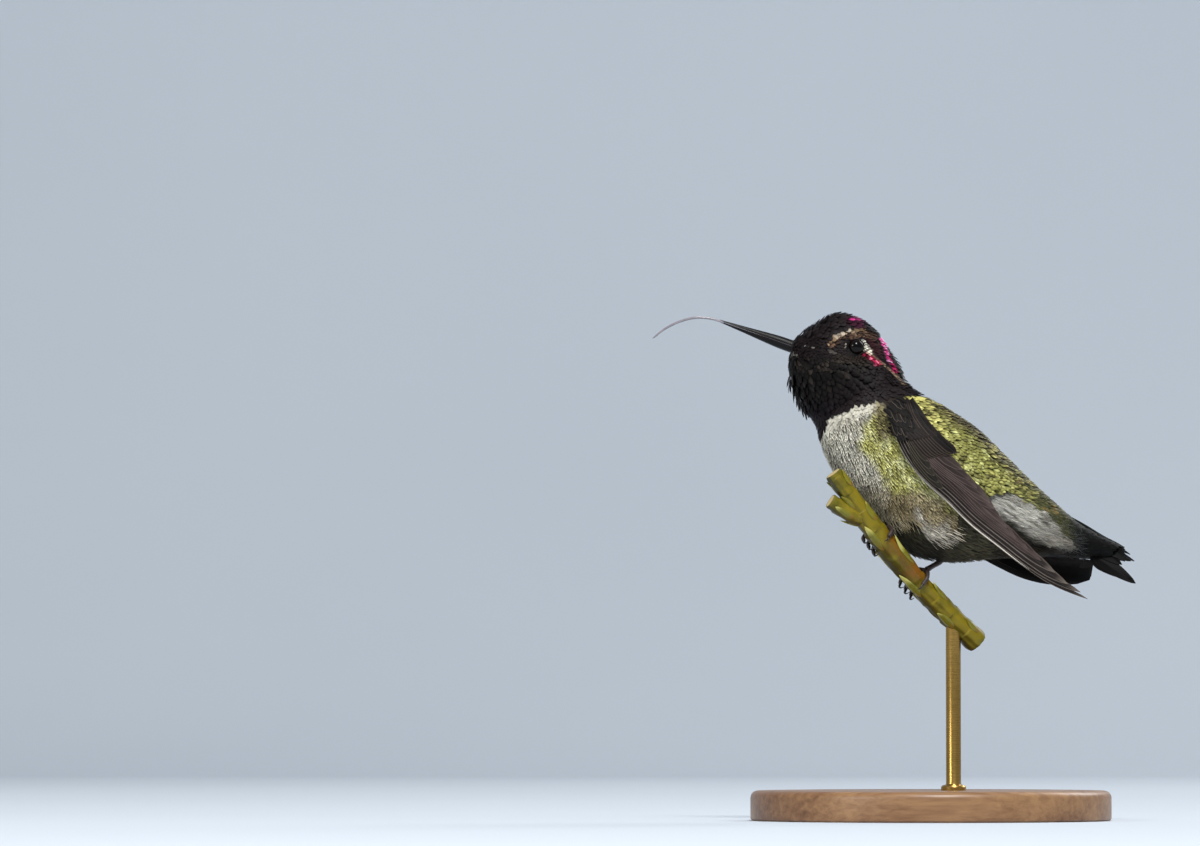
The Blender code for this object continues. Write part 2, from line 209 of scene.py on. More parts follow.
def add_piece(name, bm, material, smooth_degrees):
    """An object in metres from a mesh in millimetres."""
    bm.transform(Matrix.Scale(MM, 4))
    mesh = bpy.data.meshes.new(name)
    bm.to_mesh(mesh)
    bm.free()
    return finished(name, mesh, material, smooth_degrees)


walnut, tree, shader = new_material("oiled_walnut", Roughness=0.42, Coat_Weight=0.25,
                                    Coat_Roughness=0.3)
coords = add_node(tree, "TexCoord").outputs["Object"]
board = add_node(tree, "Mapping", {"Vector": coords, "Scale": WALNUT_STREAKS})
grain = add_node(tree, "TexNoise", {"Vector": board.outputs[0], "Scale": 1.0, "Detail": 6.0,
                                    "Roughness": 0.62, "Distortion": 0.4})
figure = add_node(tree, "Mapping", {"Vector": coords, "Scale": WALNUT_BANDS})
bands = add_node(tree, "TexNoise", {"Vector": figure.outputs[0], "Scale": 1.0, "Detail": 2.0})
both = add_node(tree, "Math", {0: grain.outputs["Fac"], 1: bands.outputs["Fac"]}, operation="ADD")
share = add_node(tree, "MapRange", {"Value": both.outputs[0], "From Min": 0.75, "From Max": 1.3})
wood_tone = add_node(tree, "Mix", {0: share.outputs[0], 6: WALNUT_DARK, 7: WALNUT_PALE},
                     data_type="RGBA")
pores = add_node(tree, "Bump", {"Height": grain.outputs["Fac"], "Strength": 0.25, "Distance": 0.00015})
link_looks(tree, shader, wood_tone.outputs[2], pores)
base = add_piece("stand_disc", turned(BASE_PROFILE, BASE_STEPS), walnut, 30.0)
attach(base, "root")
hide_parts("stand_base")


# Stand rod: drawn brass rod in a small turned collar, pushed into a hole drilled in the twig.
# Fine lines run round it from the emery cloth that it was finished with. Real ones are too
# fine to show, so they are drawn about 0.2 mm apart.
ROD_PLACE = (4.6, 0.9)
ROD_PROFILE = ((0.0, 6.0), (2.5, 6.0), (2.5, 6.7), (2.3, 7.0), (1.6, 7.2), (1.5, 7.4), (1.5, 38.9),
               (0.0, 38.9))
ROD_STEPS = 48
BRASS_BRIGHT = "#C9A35A"
BRASS_DULL = "#A07F42"
BRASS_LINES = (150.0, 150.0, 6000.0)
brass, tree, shader = new_material("drawn_brass", Metallic=1.0)
coords = add_node(tree, "TexCoord").outputs["Object"]
rings = add_node(tree, "Mapping", {"Vector": coords, "Scale": BRASS_LINES})
lines = add_node(tree, "TexNoise", {"Vector": rings.outputs[0], "Scale": 1.0, "Detail": 2.0})
brass_tone = two_tones(tree, coords, 220.0, 3.0, BRASS_BRIGHT, BRASS_DULL)[1]
dull = add_node(tree, "MapRange", {"Value": lines.outputs["Fac"], "To Min": 0.2, "To Max": 0.38})
scratch = add_node(tree, "Bump", {"Height": lines.outputs["Fac"], "Strength": 0.12, "Distance": 0.00005})
tree.links.new(dull.outputs[0], shader.inputs["Roughness"])
link_looks(tree, shader, brass_tone, scratch)
post = turned(ROD_PROFILE, ROD_STEPS)
post.transform(Matrix.Translation((*ROD_PLACE, 0.0)))
rod = add_piece("stand_post", post, brass, 30.0)
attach(rod, "root")
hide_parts("stand_rod")


# Twig: a cut length of young cypress, with a thinner side stem that it carries under the
# bird's breast. The skin is waxy and smooth, so it has a soft gloss. It swells under each leaf,
# and the sawn ends show pale dry wood.
STEM_ROUTE = ((9.5, 3.0, 35.5), (3.4, 0.2, 41.4), (-2.9, -3.8, 47.6), (-10.6, -9.4, 56.4),
              (-15.4, -11.4, 63.0), (-19.8, -12.6, 68.9))
STEM_RADII = (2.3, 2.25, 2.2, 2.3, 1.9, 1.75)
SIDE_STEM_ROUTE = ((-13.0, -10.6, 59.8), (-16.0, -11.7, 60.6), (-20.4, -12.8, 63.4))
SIDE_STEM_RADII = (1.5, 1.65, 1.55)
STEMS = (
    # name, route, radii, pairs of leaves, steps along and around
    ("twig_stem", STEM_ROUTE, STEM_RADII, 9, 170, 48),
    ("twig_side_stem", SIDE_STEM_ROUTE, SIDE_STEM_RADII, 2, 36, 40),
)
STEM_SWELL = 0.05
STEM_RIDGES = ((0.025, 7, 9), (0.02, 11, -14))
CUT_RIM = 0.18
STEM_LEAN = math.radians(49.0)
STEM_YELLOW = "#82720F"
STEM_GREEN = "#4E4E0B"
STEM_ORANGE = "#905415"
STEM_SHADOW = "#1E1C06"
CUT_PALE = "#D8C48E"
CUT_DARK = "#A98E55"
SUNNY_SIDE = (0.62, -0.35, 0.70)
TURN = 2 * math.pi


def spline(rows, u):
    """The smooth curve through evenly spaced rows, at shares u from 0 to 1."""
    rows = np.asarray(rows, dtype=float)
    padded = np.concatenate([2 * rows[:1] - rows[1:2], rows, 2 * rows[-1:] - rows[-2:-1]])
    place = np.clip(u, 0.0, 1.0) * (len(rows) - 1)
    k = np.minimum(np.asarray(place, dtype=int), len(rows) - 2)
    f = (place - k)[..., None] if rows.ndim > 1 else place - k
    a, b, c, d = padded[k], padded[k + 1], padded[k + 2], padded[k + 3]
    return b + 0.5 * f * (c - a + f * (2 * a - 5 * b + 4 * c - d + f * (3 * (b - c) + d - a)))


def unit(vectors):
    return vectors / np.maximum(np.linalg.norm(vectors, axis=-1, keepdims=True), 1e-9)


def step(value, low, high):
    """0 below low, 1 above high, and a smooth rise between."""
    f = np.clip((value - low) / (high - low), 0.0, 1.0)
    return f * f * (3 - 2 * f)


def wrapped_grid(along, around, place):
    """A closed body: a grid laid over a shape, where place turns its shares into points."""
    bm = bmesh.new()
    bmesh.ops.create_grid(bm, x_segments=along, y_segments=around, size=0.5)
    shares = np.array([vert.co[:2] for vert in bm.verts]) + 0.5
    for vert, point in zip(bm.verts, place(shares[:, 0], shares[:, 1])):
        vert.co = point
    bmesh.ops.remove_doubles(bm, verts=bm.verts[:], dist=0.002)
    bmesh.ops.holes_fill(bm, edges=[edge for edge in bm.edges if edge.is_boundary], sides=0)
    bmesh.ops.recalc_face_normals(bm, faces=bm.faces[:])
    return bm


def route_frame(route, u):
    """Points of a route, with its direction and two directions square to it."""
    centre = spline(route, u)
    along = unit(spline(route, np.minimum(u + 0.01, 1.0)) - spline(route, np.maximum(u - 0.01, 0.0)))
    side = unit(np.cross(along, np.array((0.0, 1.0, 0.15))))
    return centre, along, side, np.cross(side, along)


def round_route(route, u, angle, radius):
    """Places at an angle round a route, a radius out from it."""
    centre, _, side, up = route_frame(route, u)
    return centre + (side * np.cos(angle)[:, None] + up * np.sin(angle)[:, None]) * radius[:, None]


def join(bm, other):
    """Adds one mesh to another and frees it."""
    spare = bpy.data.meshes.new("spare")
    other.to_mesh(spare)
    other.free()
    bm.from_mesh(spare)
    bpy.data.meshes.remove(spare)


def add_uv(mesh, name, values):
    """A UV map from one pair of numbers for each vertex."""
    corners = np.zeros(len(mesh.loops), dtype=int)
    mesh.loops.foreach_get("vertex_index", corners)
    layer = mesh.uv_layers.new(name=name)
    layer.uv.foreach_set("vector", np.asarray(values, dtype=np.float32)[corners].ravel())


stem_skin, tree, shader = new_material("waxy_stem_skin", Roughness=0.45, Specular_IOR_Level=0.3)
coords = add_node(tree, "TexCoord").outputs["Object"]
blotch = add_node(tree, "TexNoise", {"Vector": coords, "Scale": 190.0, "Detail": 4.0, "Roughness": 0.6})
rust = add_node(tree, "TexNoise", {"Vector": coords, "Scale": 95.0, "Detail": 3.0})
fibre = add_node(tree, "Mapping", {"Vector": coords, "Rotation": (0.0, STEM_LEAN, 0.0),
                                   "Scale": (2600.0, 2600.0, 260.0)})
fibres = add_node(tree, "TexNoise", {"Vector": fibre.outputs[0], "Scale": 1.0, "Detail": 2.0})
greener = add_node(tree, "MapRange", {"Value": blotch.outputs["Fac"], "From Min": 0.42, "From Max": 0.66})
skin_tone = add_node(tree, "Mix", {0: greener.outputs[0], 6: STEM_YELLOW, 7: STEM_GREEN},
                     data_type="RGBA")
rusty = add_node(tree, "MapRange", {"Value": rust.outputs["Fac"], "From Min": 0.54, "From Max": 0.68,
                                    "To Max": 0.8})
rust_tone = add_node(tree, "Mix", {0: rusty.outputs[0], 6: skin_tone.outputs[2], 7: STEM_ORANGE},
                     data_type="RGBA")
# The side turned from SUNNY_SIDE darkens towards STEM_SHADOW: partly darker green, partly painted shade.
facing = add_node(tree, "NewGeometry")
upward = add_node(tree, "VectorMath", {0: facing.outputs["Normal"], 1: SUNNY_SIDE},
                  operation="DOT_PRODUCT")
under = add_node(tree, "MapRange", {"Value": upward.outputs["Value"], "From Min": 0.15,
                                    "From Max": -0.55, "To Max": 0.75})
stem_tone = add_node(tree, "Mix", {0: under.outputs[0], 6: rust_tone.outputs[2], 7: STEM_SHADOW},
                     data_type="RGBA")
streak = add_node(tree, "Bump", {"Height": fibres.outputs["Fac"], "Strength": 0.35, "Distance": 0.0001})
link_looks(tree, shader, stem_tone.outputs[2], streak)

cut_wood, tree, shader = new_material("fresh_cut_softwood", Roughness=0.75)
coords = add_node(tree, "TexCoord").outputs["Object"]
link_looks(tree, shader, two_tones(tree, coords, 2500.0, 3.0, CUT_PALE, CUT_DARK)[1])

for name, route, radii, pairs, steps_along, steps_around in STEMS:
    def stem_place(u, around):
        """The skin of a stem, which swells a little below each pair of leaves."""
        turn = TURN * around
        pair = u * pairs
        swell = STEM_SWELL * np.sin(TURN * pair) * np.cos(2 * turn + math.pi * np.floor(pair + 0.25))
        ridges = sum(size * np.sin(turn * count + twist * u) for size, count, twist in STEM_RIDGES)
        rim = np.clip(np.minimum(u, 1 - u) * 60, 0.0, 1.0) ** 0.5 * 0.06 - 0.06
        return round_route(route, u, turn, spline(radii, u) * (1 + swell + ridges + rim))

    bm = wrapped_grid(steps_along, steps_around, stem_place)
    cut_ends = [face for face in bm.faces if len(face.verts) > 20]
    rim = bmesh.ops.inset_individual(bm, faces=cut_ends, thickness=CUT_RIM, depth=0.0)["faces"]
    for face in cut_ends:
        face.material_index = 1
    for face in rim:
        face.material_index = 0
    twig_piece = add_piece(name, bm, stem_skin, 35.0)
    twig_piece.data.materials.append(cut_wood)
    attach(twig_piece, "root")
    if name == "twig_stem":
        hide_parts("perch")


# Scale leaves: pressed to the stem in crossed pairs, each a flat spindle with a free, pale
# point. They are fleshy, so they have a soft gloss and let a little light into their edges.
LEAF_ROWS = (
    # route, radii, pairs, where the first is, how far apart, how far turned, size
    (STEM_ROUTE, STEM_RADII, 9, 0.04, 0.105, 0.5, 1.0),
    (SIDE_STEM_ROUTE, SIDE_STEM_RADII, 2, 0.12, 0.36, 0.2, 0.8),
)
LEAF_LENGTH = 5.2
LEAF_HALF_WIDTH = 0.95
LEAF_THICK = 0.32
LEAF_GREEN = "#6E7214"
LEAF_PALE = "#C2BC62"
leaves = bmesh.new()
leaf_shares = []
rng = np.random.default_rng(11)
spots = [(route, radii, first + pace * pair, math.pi / 2 * pair + twist + math.pi * half, size)
         for route, radii, pairs, first, pace, twist, size in LEAF_ROWS
         for pair in range(pairs) for half in (0, 1)]
for route, radii, root, turn, size in spots:
    reach_mm = np.linalg.norm(np.diff(spline(route, np.linspace(0, 1, 40)), axis=0), axis=1).sum()
    span = LEAF_LENGTH * size * (0.85 + 0.3 * rng.random()) / reach_mm
    lift = 0.35 + 0.45 * rng.random()
    turn += 0.3 * (rng.random() - 0.5)

    def leaf_place(s, around):
        u = np.minimum(root + span * s, 0.99)
        width = LEAF_HALF_WIDTH * size * np.sin(math.pi * np.clip(s, 0, 1) ** 0.8) ** 0.75 * (1 - 0.25 * s)
        angle = turn + width / spline(radii, u) * np.cos(TURN * around)
        height = LEAF_THICK * size * np.sin(math.pi * s) ** 0.6 * np.sin(TURN * around)
        radius = spline(radii, u) + 0.02 + height + lift * np.maximum(s - 0.55, 0.0) ** 1.5 * 3.0
        return round_route(route, u, angle, radius)

    before = len(leaves.verts)
    join(leaves, wrapped_grid(14, 12, leaf_place))
    leaves.verts.ensure_lookup_table()
    foot = spline(route, root)
    run = unit(spline(route, root + span) - foot)
    leaf_shares += [float(np.dot(np.array(leaves.verts[k].co) - foot, run)) / LEAF_LENGTH / size
                    for k in range(before, len(leaves.verts))]
fleshy, tree, shader = new_material("fleshy_scale_leaf", Roughness=0.38, Subsurface_Weight=0.1,
                                    Subsurface_Scale=0.0006)
along = add_node(tree, "UVMap", uv_map="leaf")
split = add_node(tree, "SeparateXYZ", {0: along.outputs[0]})
coords = add_node(tree, "TexCoord").outputs["Object"]
body_tone = two_tones(tree, coords, 260.0, 3.0, LEAF_GREEN, STEM_YELLOW)[1]
paling = add_node(tree, "MapRange", {"Value": split.outputs[0], "From Min": 0.72, "From Max": 1.0})
tip_tone = add_node(tree, "Mix", {0: paling.outputs[0], 6: body_tone, 7: LEAF_PALE}, data_type="RGBA")
rusting = add_node(tree, "MapRange", {"Value": split.outputs[0], "From Min": 0.3, "From Max": 0.0,
                                      "To Max": 0.6})
leaf_tone = add_node(tree, "Mix", {0: rusting.outputs[0], 6: tip_tone.outputs[2], 7: STEM_ORANGE},
                     data_type="RGBA")
link_looks(tree, shader, leaf_tone.outputs[2])
leaf_piece = add_piece("twig_leaves", leaves, fleshy, 50.0)
add_uv(leaf_piece.data, "leaf", [(share, 0.5) for share in leaf_shares])
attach(leaf_piece, "root")


# Body skin: one thin hide over head, neck, trunk and rump, drawn in below the coat. Its down
# is as dark as the feathers over it, or darker, so that no pale ground shows between them: it is
# partly the down's own dark tone and partly painted shade under the coat.
STATIONS = (
    # back x, z,   front x, z,   half width
    (-27.5, 96.0, -28.0, 93.8, 1.5),
    (-24.2, 98.4, -28.2, 91.2, 4.2),
    (-18.2, 101.4, -27.5, 87.2, 6.5),
    (-11.6, 98.6, -25.2, 82.5, 7.1),
    (-6.4, 91.6, -22.8, 78.6, 7.0),
    (-4.4, 87.3, -21.9, 75.2, 8.0),
    (2.6, 82.7, -18.5, 68.5, 10.3),
    (9.4, 78.1, -13.4, 61.2, 11.3),
    (16.0, 71.7, -6.4, 54.3, 10.5),
    (21.0, 66.8, 3.0, 51.7, 8.5),
    (25.6, 62.6, 13.5, 52.4, 6.2),
    (29.8, 59.0, 23.0, 52.7, 4.4),
    (33.4, 57.0, 30.6, 52.5, 3.0),
)
EGG = 0.10
COAT_DEPTHS = (0.12, 0.35, 0.45, 0.6, 0.7, 0.8, 0.95, 1.0, 1.0, 0.95, 0.8, 0.6, 0.45)
SKIN_STEPS = (210, 120)
EYE_HOLE = 1.6

# Lines between one kind of plumage and the next, as x and z on a drawing of the bird's side.
THROAT_EDGE = ((-26.0, 72.5), (-21.5, 76.0), (-20.3, 79.7), (-18.4, 80.9), (-16.8, 81.3), (-15.0, 82.6),
               (-13.6, 82.3), (-10.8, 83.5), (-8.8, 83.4), (-6.1, 84.5), (0.0, 84.4), (3.0, 82.9))
WING_LINE = ((-9.0, 84.6), (-7.5, 81.0), (0.0, 74.0), (12.0, 63.0), (31.0, 45.0))
FLANK_EDGE = ((-18.0, 68.0), (-14.3, 67.0), (-9.5, 66.6), (-6.0, 66.4), (-3.0, 65.2), (1.0, 64.0),
              (8.0, 61.5))
FRINGE_EDGE = ((-14.0, 60.5), (-10.0, 59.6), (-6.0, 60.2), (-2.2, 60.0), (-1.2, 57.6), (-0.4, 56.0),
               (1.4, 56.2), (3.4, 57.0), (5.0, 58.0), (5.8, 62.5), (12.0, 62.5))
VENT_TOP = ((11.0, 64.2), (14.0, 64.7), (16.0, 65.0), (18.0, 64.5), (20.0, 63.7), (21.2, 62.3),
            (23.0, 61.3), (25.0, 60.0), (26.4, 57.6), (28.0, 55.9), (30.0, 54.8))
VENT_FOOT = ((11.0, 61.5), (14.2, 60.8), (16.0, 60.2), (18.0, 58.8), (20.0, 57.2), (22.0, 56.0),
             (24.0, 55.2), (27.0, 54.6), (30.0, 54.2))
SCALY_EDGE = ((-29.0, 83.0), (-24.0, 83.2), (-20.2, 84.4), (-16.0, 87.3), (-12.6, 88.9), (-11.4, 91.5),
              (-5.0, 99.0))
CHIN_LINE = ((-29.0, 92.8), (-20.0, 92.0), (-12.0, 91.4), (-4.0, 85.5))
CROWN_LINE = ((-29.0, 97.2), (-25.0, 96.2), (-20.2, 96.6), (-17.0, 98.3), (-13.0, 98.7), (-10.5, 97.9),
              (-8.6, 95.6), (-7.2, 92.6), (-5.6, 88.0))
BREAST_EDGE = (  # height, and how far forward the white of the breast starts there
    (66.0, -8.5), (68.5, -9.5), (71.5, -12.5), (75.2, -15.0), (79.1, -12.8), (81.6, -10.2), (84.0, -9.0))

# Routes of the small marks on head and shoulder, on the same drawing.
SHOULDER = ((-6.4, 84.0), (-7.6, 82.6), (-5.6, 81.6), (-6.6, 78.6))
SHOULDER_SHADE = ((-9.6, 82.0), (-9.2, 77.5))
BROW = ((-19.6, 95.0), (-17.9, 96.1), (-15.8, 96.9), (-13.2, 97.2), (-11.2, 96.6), (-10.2, 95.6))
BROW_TOP = ((-19.6, 95.5), (-18.2, 96.6), (-16.0, 97.6), (-13.8, 98.0), (-12.7, 98.1))
EYE_SPOT = ((-13.2, 95.4), (-12.8, 94.5), (-12.4, 93.8), (-11.9, 93.3))
EYE_FRONT = ((-16.8, 95.2), (-16.9, 94.4))
EYE_CORNER = ((-16.5, 95.0), (-16.3, 94.0))
EAR_LINE = ((-11.6, 93.2), (-9.6, 91.3), (-7.5, 89.7), (-5.0, 87.2))
EAR_FLUSH = ((-11.6, 96.2), (-10.2, 93.2))
CHEEK = ((-18.0, 92.0), (-13.0, 91.6))
CRIMSON_PATCH = ((-12.5, 92.8), (-11.4, 92.0), (-10.1, 91.1))
PINK_STRIPE = ((-9.5, 96.1), (-8.7, 94.6), (-8.4, 93.4), (-7.9, 91.9), (-7.3, 90.8), (-6.6, 89.6))
CROWN_PATCH = ((-15.4, 99.7), (-13.6, 99.3))
CROWN_PAINTED_GLINT = ((-15.2, 100.5), (-14.2, 100.3))
GAPE_FLECKS = ((-25.1, 94.8), (-22.9, 94.3))
CHIN_FLECKS = ((-28.1, 93.1), (-26.4, 92.7))
LORE_FLECKS = ((-19.9, 93.7), (-18.6, 93.1))
HEAD_MARKS = (
    # route, half width, colour at its start and end, how strong
    (BROW, 0.72, "#6E5340", "#3E2A22", 0.9),
    (BROW_TOP, 0.34, "#94785C", "#7A6446", 0.85),
    (EAR_LINE, 0.30, "#7A6654", "#8A7660", 0.85),
    (EYE_SPOT, 0.74, "#F6F2E4", "#E6DDC8", 1.0),
    (EYE_CORNER, 0.42, "#0E0A09", "#0E0A09", 0.9),
    # The crimson patch, crown patch and pink stripe are partly rose feathers, partly painted iridescent
    # sheen.
    (CRIMSON_PATCH, 0.6, "#B01E44", "#C82850", 0.95),
    (CROWN_PATCH, 1.25, "#2A0A1A", "#380C24", 0.95),
    (PINK_STRIPE, 0.44, "#F02C98", "#B01A52", 1.0),
    (GAPE_FLECKS, 0.2, "#8E8882", "#7E7872", 0.8),
    (CHIN_FLECKS, 0.3, "#9A958C", "#6E6860", 0.6),
    (LORE_FLECKS, 0.14, "#6A625A", "#5A544E", 0.5),
    (EYE_FRONT, 0.22, "#A89E90", "#8A8074", 0.8),
)


def body_point(u, turn):
    """The coat's surface: u runs from bill to tail and turn from the back, round the right side."""
    def on_ring(share):
        back_x, back_z, front_x, front_z, half = spline(STATIONS, share).T
        cos, sin = np.cos(turn), np.sin(turn)
        return np.stack([(back_x + front_x) / 2 + (back_x - front_x) / 2 * cos,
                         half * sin * (1 - EGG * cos),
                         (back_z + front_z) / 2 + (back_z - front_z) / 2 * cos], axis=-1)
    inside = np.clip(u, 0.0, 1.0)
    ring = on_ring(inside)
    return ring + ((u - inside) / 0.01)[:, None] * (ring - on_ring(inside - 0.01))


def body_frame(u, turn):
    """Place on the coat's surface, the way out, the way the coat lies, and the two slopes."""
    slope_u = (body_point(u + 0.004, turn) - body_point(u - 0.004, turn)) / 0.008
    slope_turn = (body_point(u, turn + 0.01) - body_point(u, turn - 0.01)) / 0.02
    return body_point(u, turn), unit(np.cross(slope_u, slope_turn)), unit(slope_u), slope_u, slope_turn


def tone(code):
    return np.array(linear(code)[:3])


def mixed(first, second, share):
    """One tone turned into another by a share for each place; either can be a hex code."""
    first, second = (tone(value) if isinstance(value, str) else value for value in (first, second))
    return first + (second - first) * np.clip(share, 0.0, 1.0)[:, None]


def layered(ground, *layers):
    """A ground with more tones laid over it, each with its cover for each place."""
    for colour, cover in layers:
        ground = mixed(ground, colour, cover)
    return ground


def cloud(place, size, seed):
    """Smooth noise from about -1 to 1, with patches about size across."""
    ways = np.random.default_rng(seed)
    total = np.zeros(len(place))
    for _ in range(7):
        total += np.sin(place @ ways.normal(size=3) * (2.4 / size) + 6.28 * ways.random())
    return total / 3.2


def drawn(place):
    """Where a place falls on the drawing of the bird's side, which is in slight perspective."""
    near = np.abs(place[:, 1])
    return np.stack([place[:, 0] + (place[:, 0] - CAMERA_TARGET.x / MM) * near * MM / CAMERA_DISTANCE,
                     place[:, 2] + near * math.tan(CAMERA_BELOW)], axis=1)


def above(place, line):
    """How far a place is above a line drawn on the bird's side."""
    x, z = drawn(place).T
    return z - np.interp(x, *np.array(line).T)


def beside(place, route):
    """How far a place is from a route drawn on the bird's side, and its share along it."""
    spots = np.array(route)
    flat = drawn(place)
    best = np.full(len(place), np.inf)
    share = np.zeros(len(place))
    for k in range(len(spots) - 1):
        run = spots[k + 1] - spots[k]
        f = np.clip((flat - spots[k]) @ run / (run @ run), 0.0, 1.0)
        far = np.linalg.norm(flat - spots[k] - f[:, None] * run, axis=1)
        share = np.where(far < best, (k + f) / (len(spots) - 1), share)
        best = np.minimum(far, best)
    return best, share


def within(place, route, near, far):
    """1 within a distance of a route, falling to 0 at a greater one."""
    return 1 - step(beside(place, route)[0], near, far)


def head_marking(place, drift, fine, glint):
    """Head and throat: nearly black, with a pale brow and eye spot and a few rosy flashes, which are
    partly the feathers' rose colour and partly painted iridescent sheen.
    """
    scaly_rise = above(place, SCALY_EDGE)
    scaly = step(-above(place, CHIN_LINE), -0.5, 0.5) * step(scaly_rise, -0.5, 1.0)
    head = layered(
        mixed("#221A1A", "#181213", 0.5 + 0.5 * drift),
        ("#1C1517", step(-scaly_rise, -1.0, 1.0)),
        (mixed("#15110F", "#37302B", step(fine, -0.2, 1.1)), scaly),
        ("#302820", 0.5 * within(place, CHEEK, 0.4, 1.6)),
        ("#3A1A20", 0.7 * within(place, EAR_FLUSH, 0.4, 1.5)))
    for route, half, start, end, strength in HEAD_MARKS:
        far, share = beside(place, route)
        cover = strength * (1 - step(far + 0.1 * fine, half * 0.65, half * 1.15))
        head = mixed(head, mixed(start, end, share), cover)
    stripe_share, brow_share = (beside(place, route)[1] for route in (PINK_STRIPE, BROW))
    in_stripe = within(place, PINK_STRIPE, 0.28, 0.50)
    in_crimson = within(place, CRIMSON_PATCH, 0.45, 0.7)
    in_brow = within(place, BROW, 0.5, 0.95)
    on_brow_top = within(place, BROW_TOP, 0.2, 0.5)
    return layered(
        head,
        # The palest pinks on the stripe, the crimson patch and the crown are painted glints.
        ("#FFB8E4", in_stripe * step(glint + 0.4 - 0.8 * stripe_share, 0.3, 0.7)),
        ("#7A0C3C", in_stripe * step(-glint - 0.4 + stripe_share, 0.2, 0.6) * 0.9),
        ("#F0809E", in_crimson * step(glint, 0.4, 0.9)),
        ("#4A0A1E", in_crimson * step(-glint, 0.2, 0.8)),
        ("#1E150F", in_brow * step(-glint, 0.1, 0.6) * 0.85),
        ("#A98A70", in_brow * step(glint, 0.4, 0.9) * (1 - brow_share)),
        ("#CDBFAC", 0.8 * step(glint, 0.0, 0.6) * on_brow_top),
        ("#F0409E", within(place, CROWN_PAINTED_GLINT, 0.25, 0.55) * step(glint, -0.9, -0.2)))


def marking(place):
    """The colour of the plumage at a place, as it is on skin and coat alike."""
    x, y, z = place.T
    drift, fine, glint = (cloud(place, size, seed) for size, seed in ((2.0, 1), (0.8, 2), (0.42, 3)))
    streaks = np.stack([(0.77 * x - 0.64 * z) * 0.22, y * 0.7, 0.64 * x + 0.77 * z], axis=1)
    locks = cloud(streaks, 0.75, 4)
    wing, throat, flank, fringe, vent_top, vent_foot = (above(place, line) for line in (
        WING_LINE, THROAT_EDGE, FLANK_EDGE, FRINGE_EDGE, VENT_TOP, VENT_FOOT))

    # Back: golden green with dark flecks, brown along the ridge, rufous flecks on the rump. Its bright
    # patches are partly painted glints, and its dark flecks partly painted shade between the scales.
    ridge = (1 - step(np.abs(y) + 0.8 * drift, 4.0, 7.5)) * (wing > 0) * (0.5 + 0.5 * step(x, -3.0, 2.0))
    back = layered(
        mixed("#8E8D46", "#DCDE90", step(fine + 0.55 * glint, 0.3, 1.4)),
        ("#463D1E", 0.7 * step(-fine - 0.5 * glint + 0.4 * drift, 0.5, 1.3)),
        (mixed("#2E2418", "#6E5F42", step(fine + 0.5 * glint, -0.5, 1.1)), 0.85 * ridge),
        ("#EAE284", 0.75 * (1 - step(x, -1.0, 6.0)) * step(fine, -0.8, 0.4)),
        ("#B5803A", 0.7 * ridge * step(x, 14.0, 22.0) * step(fine, 0.8, 1.3)),
        ("#4A5226", 0.42 * step(x, 12.0, 20.0)),
        ("#D2CC74", 0.6 * step(x, 10.0, 13.0) * (1 - step(x, 19.0, 24.0)) * step(glint, 0.1, 0.8)),
        ("#141810", step(x + 0.4 * fine, 25.2, 29.5)))

    # Front: grey-white breast, green flank, buff below it, a pale fringe and a dark belly, which is
    # partly its own dark olive and partly painted shade under the body.
    breast = layered(
        mixed("#CEC8B4", "#F6F1DE", 0.5 + 0.5 * drift),
        ("#827C69", 0.6 * (1 - step(np.abs(y), 3.0, 6.5)) * step(-z, -78.0, -72.0)),
        # Just below the throat's edge the breast is greyed: painted shade where the gorget lies over it.
        ("#B8B2A3", 0.5 * (1 - step(-throat, 1.6, 3.6))))
    green = layered(
        mixed("#D8D47A", "#FEFCB6", step(fine + drift, -0.3, 0.9)),
        ("#6E6A3C", 0.45 * step(-fine, 0.55, 1.3)))
    front_share = step(np.interp(z, *np.array(BREAST_EDGE).T) - x + 0.8 * drift, -1.6, 1.6)
    low_flank = mixed(mixed("#8A7A54", "#BAAA82", 0.5 + 0.5 * drift), breast, front_share * 0.35)
    shade = layered(
        mixed("#211F16", "#3A3624", 0.5 + 0.5 * drift),
        ("#4C4835", step(x, 1.0, 5.0) * (1 - step(x, 10.0, 15.0))))
    front = layered(
        mixed(green, breast, front_share),
        ("#73644C", 0.75 * within(place, SHOULDER_SHADE, 0.8, 2.2)),
        (low_flank, step(-flank + 0.9 * drift, -1.8, 1.8)),
        ("#DFD8C8", step(-fringe + 3.2, -0.6, 1.6) * step(x, -4.6, -2.2) * (1 - step(x, 2.4, 4.2)) * 0.85),
        (shade, step(-fringe + 0.3 * fine, -0.3, 0.6)))

    # Vent: white locks with painted shade in the gaps between them, greyer towards the tail.
    in_vent = step(-vent_top + 0.4 * fine, -0.25, 0.35)
    white = layered(
        mixed("#A29C8E", "#DCD8CC", step(locks + 0.3 * fine, -0.8, 0.4)),
        ("#5E5747", step(-locks, 0.55, 1.15)),
        ("#857E70", 0.8 * step(x - 1.6 * vent_foot + 2.0 * locks, 15.0, 24.0)))
    in_white = (step(x, 10.2, 11.4) * (1 - step(x + 0.5 * fine, 28.0, 29.6))
                * in_vent * step(vent_foot + 0.5 * fine, -1.4, 0.6))
    body = layered(
        mixed(back, front, step(-wing, -0.8, 0.8)),
        ("#2B221D", 1 - step(beside(place, SHOULDER)[0] + 0.3 * fine, 1.3, 2.0)),
        # Under the vent the belly's tone deepens to near black towards the tail: partly dark plumage, partly
        # painted shade under the tail.
        (mixed(shade, "#0C0A09", step(x, 18.0, 25.0)), step(x, 9.0, 10.5) * in_vent),
        (white, in_white),
        ("#0A0A09", step(x, 28.6, 30.0)))
    return mixed(body, head_marking(place, drift, fine, glint), step(throat, -0.2, 0.2))


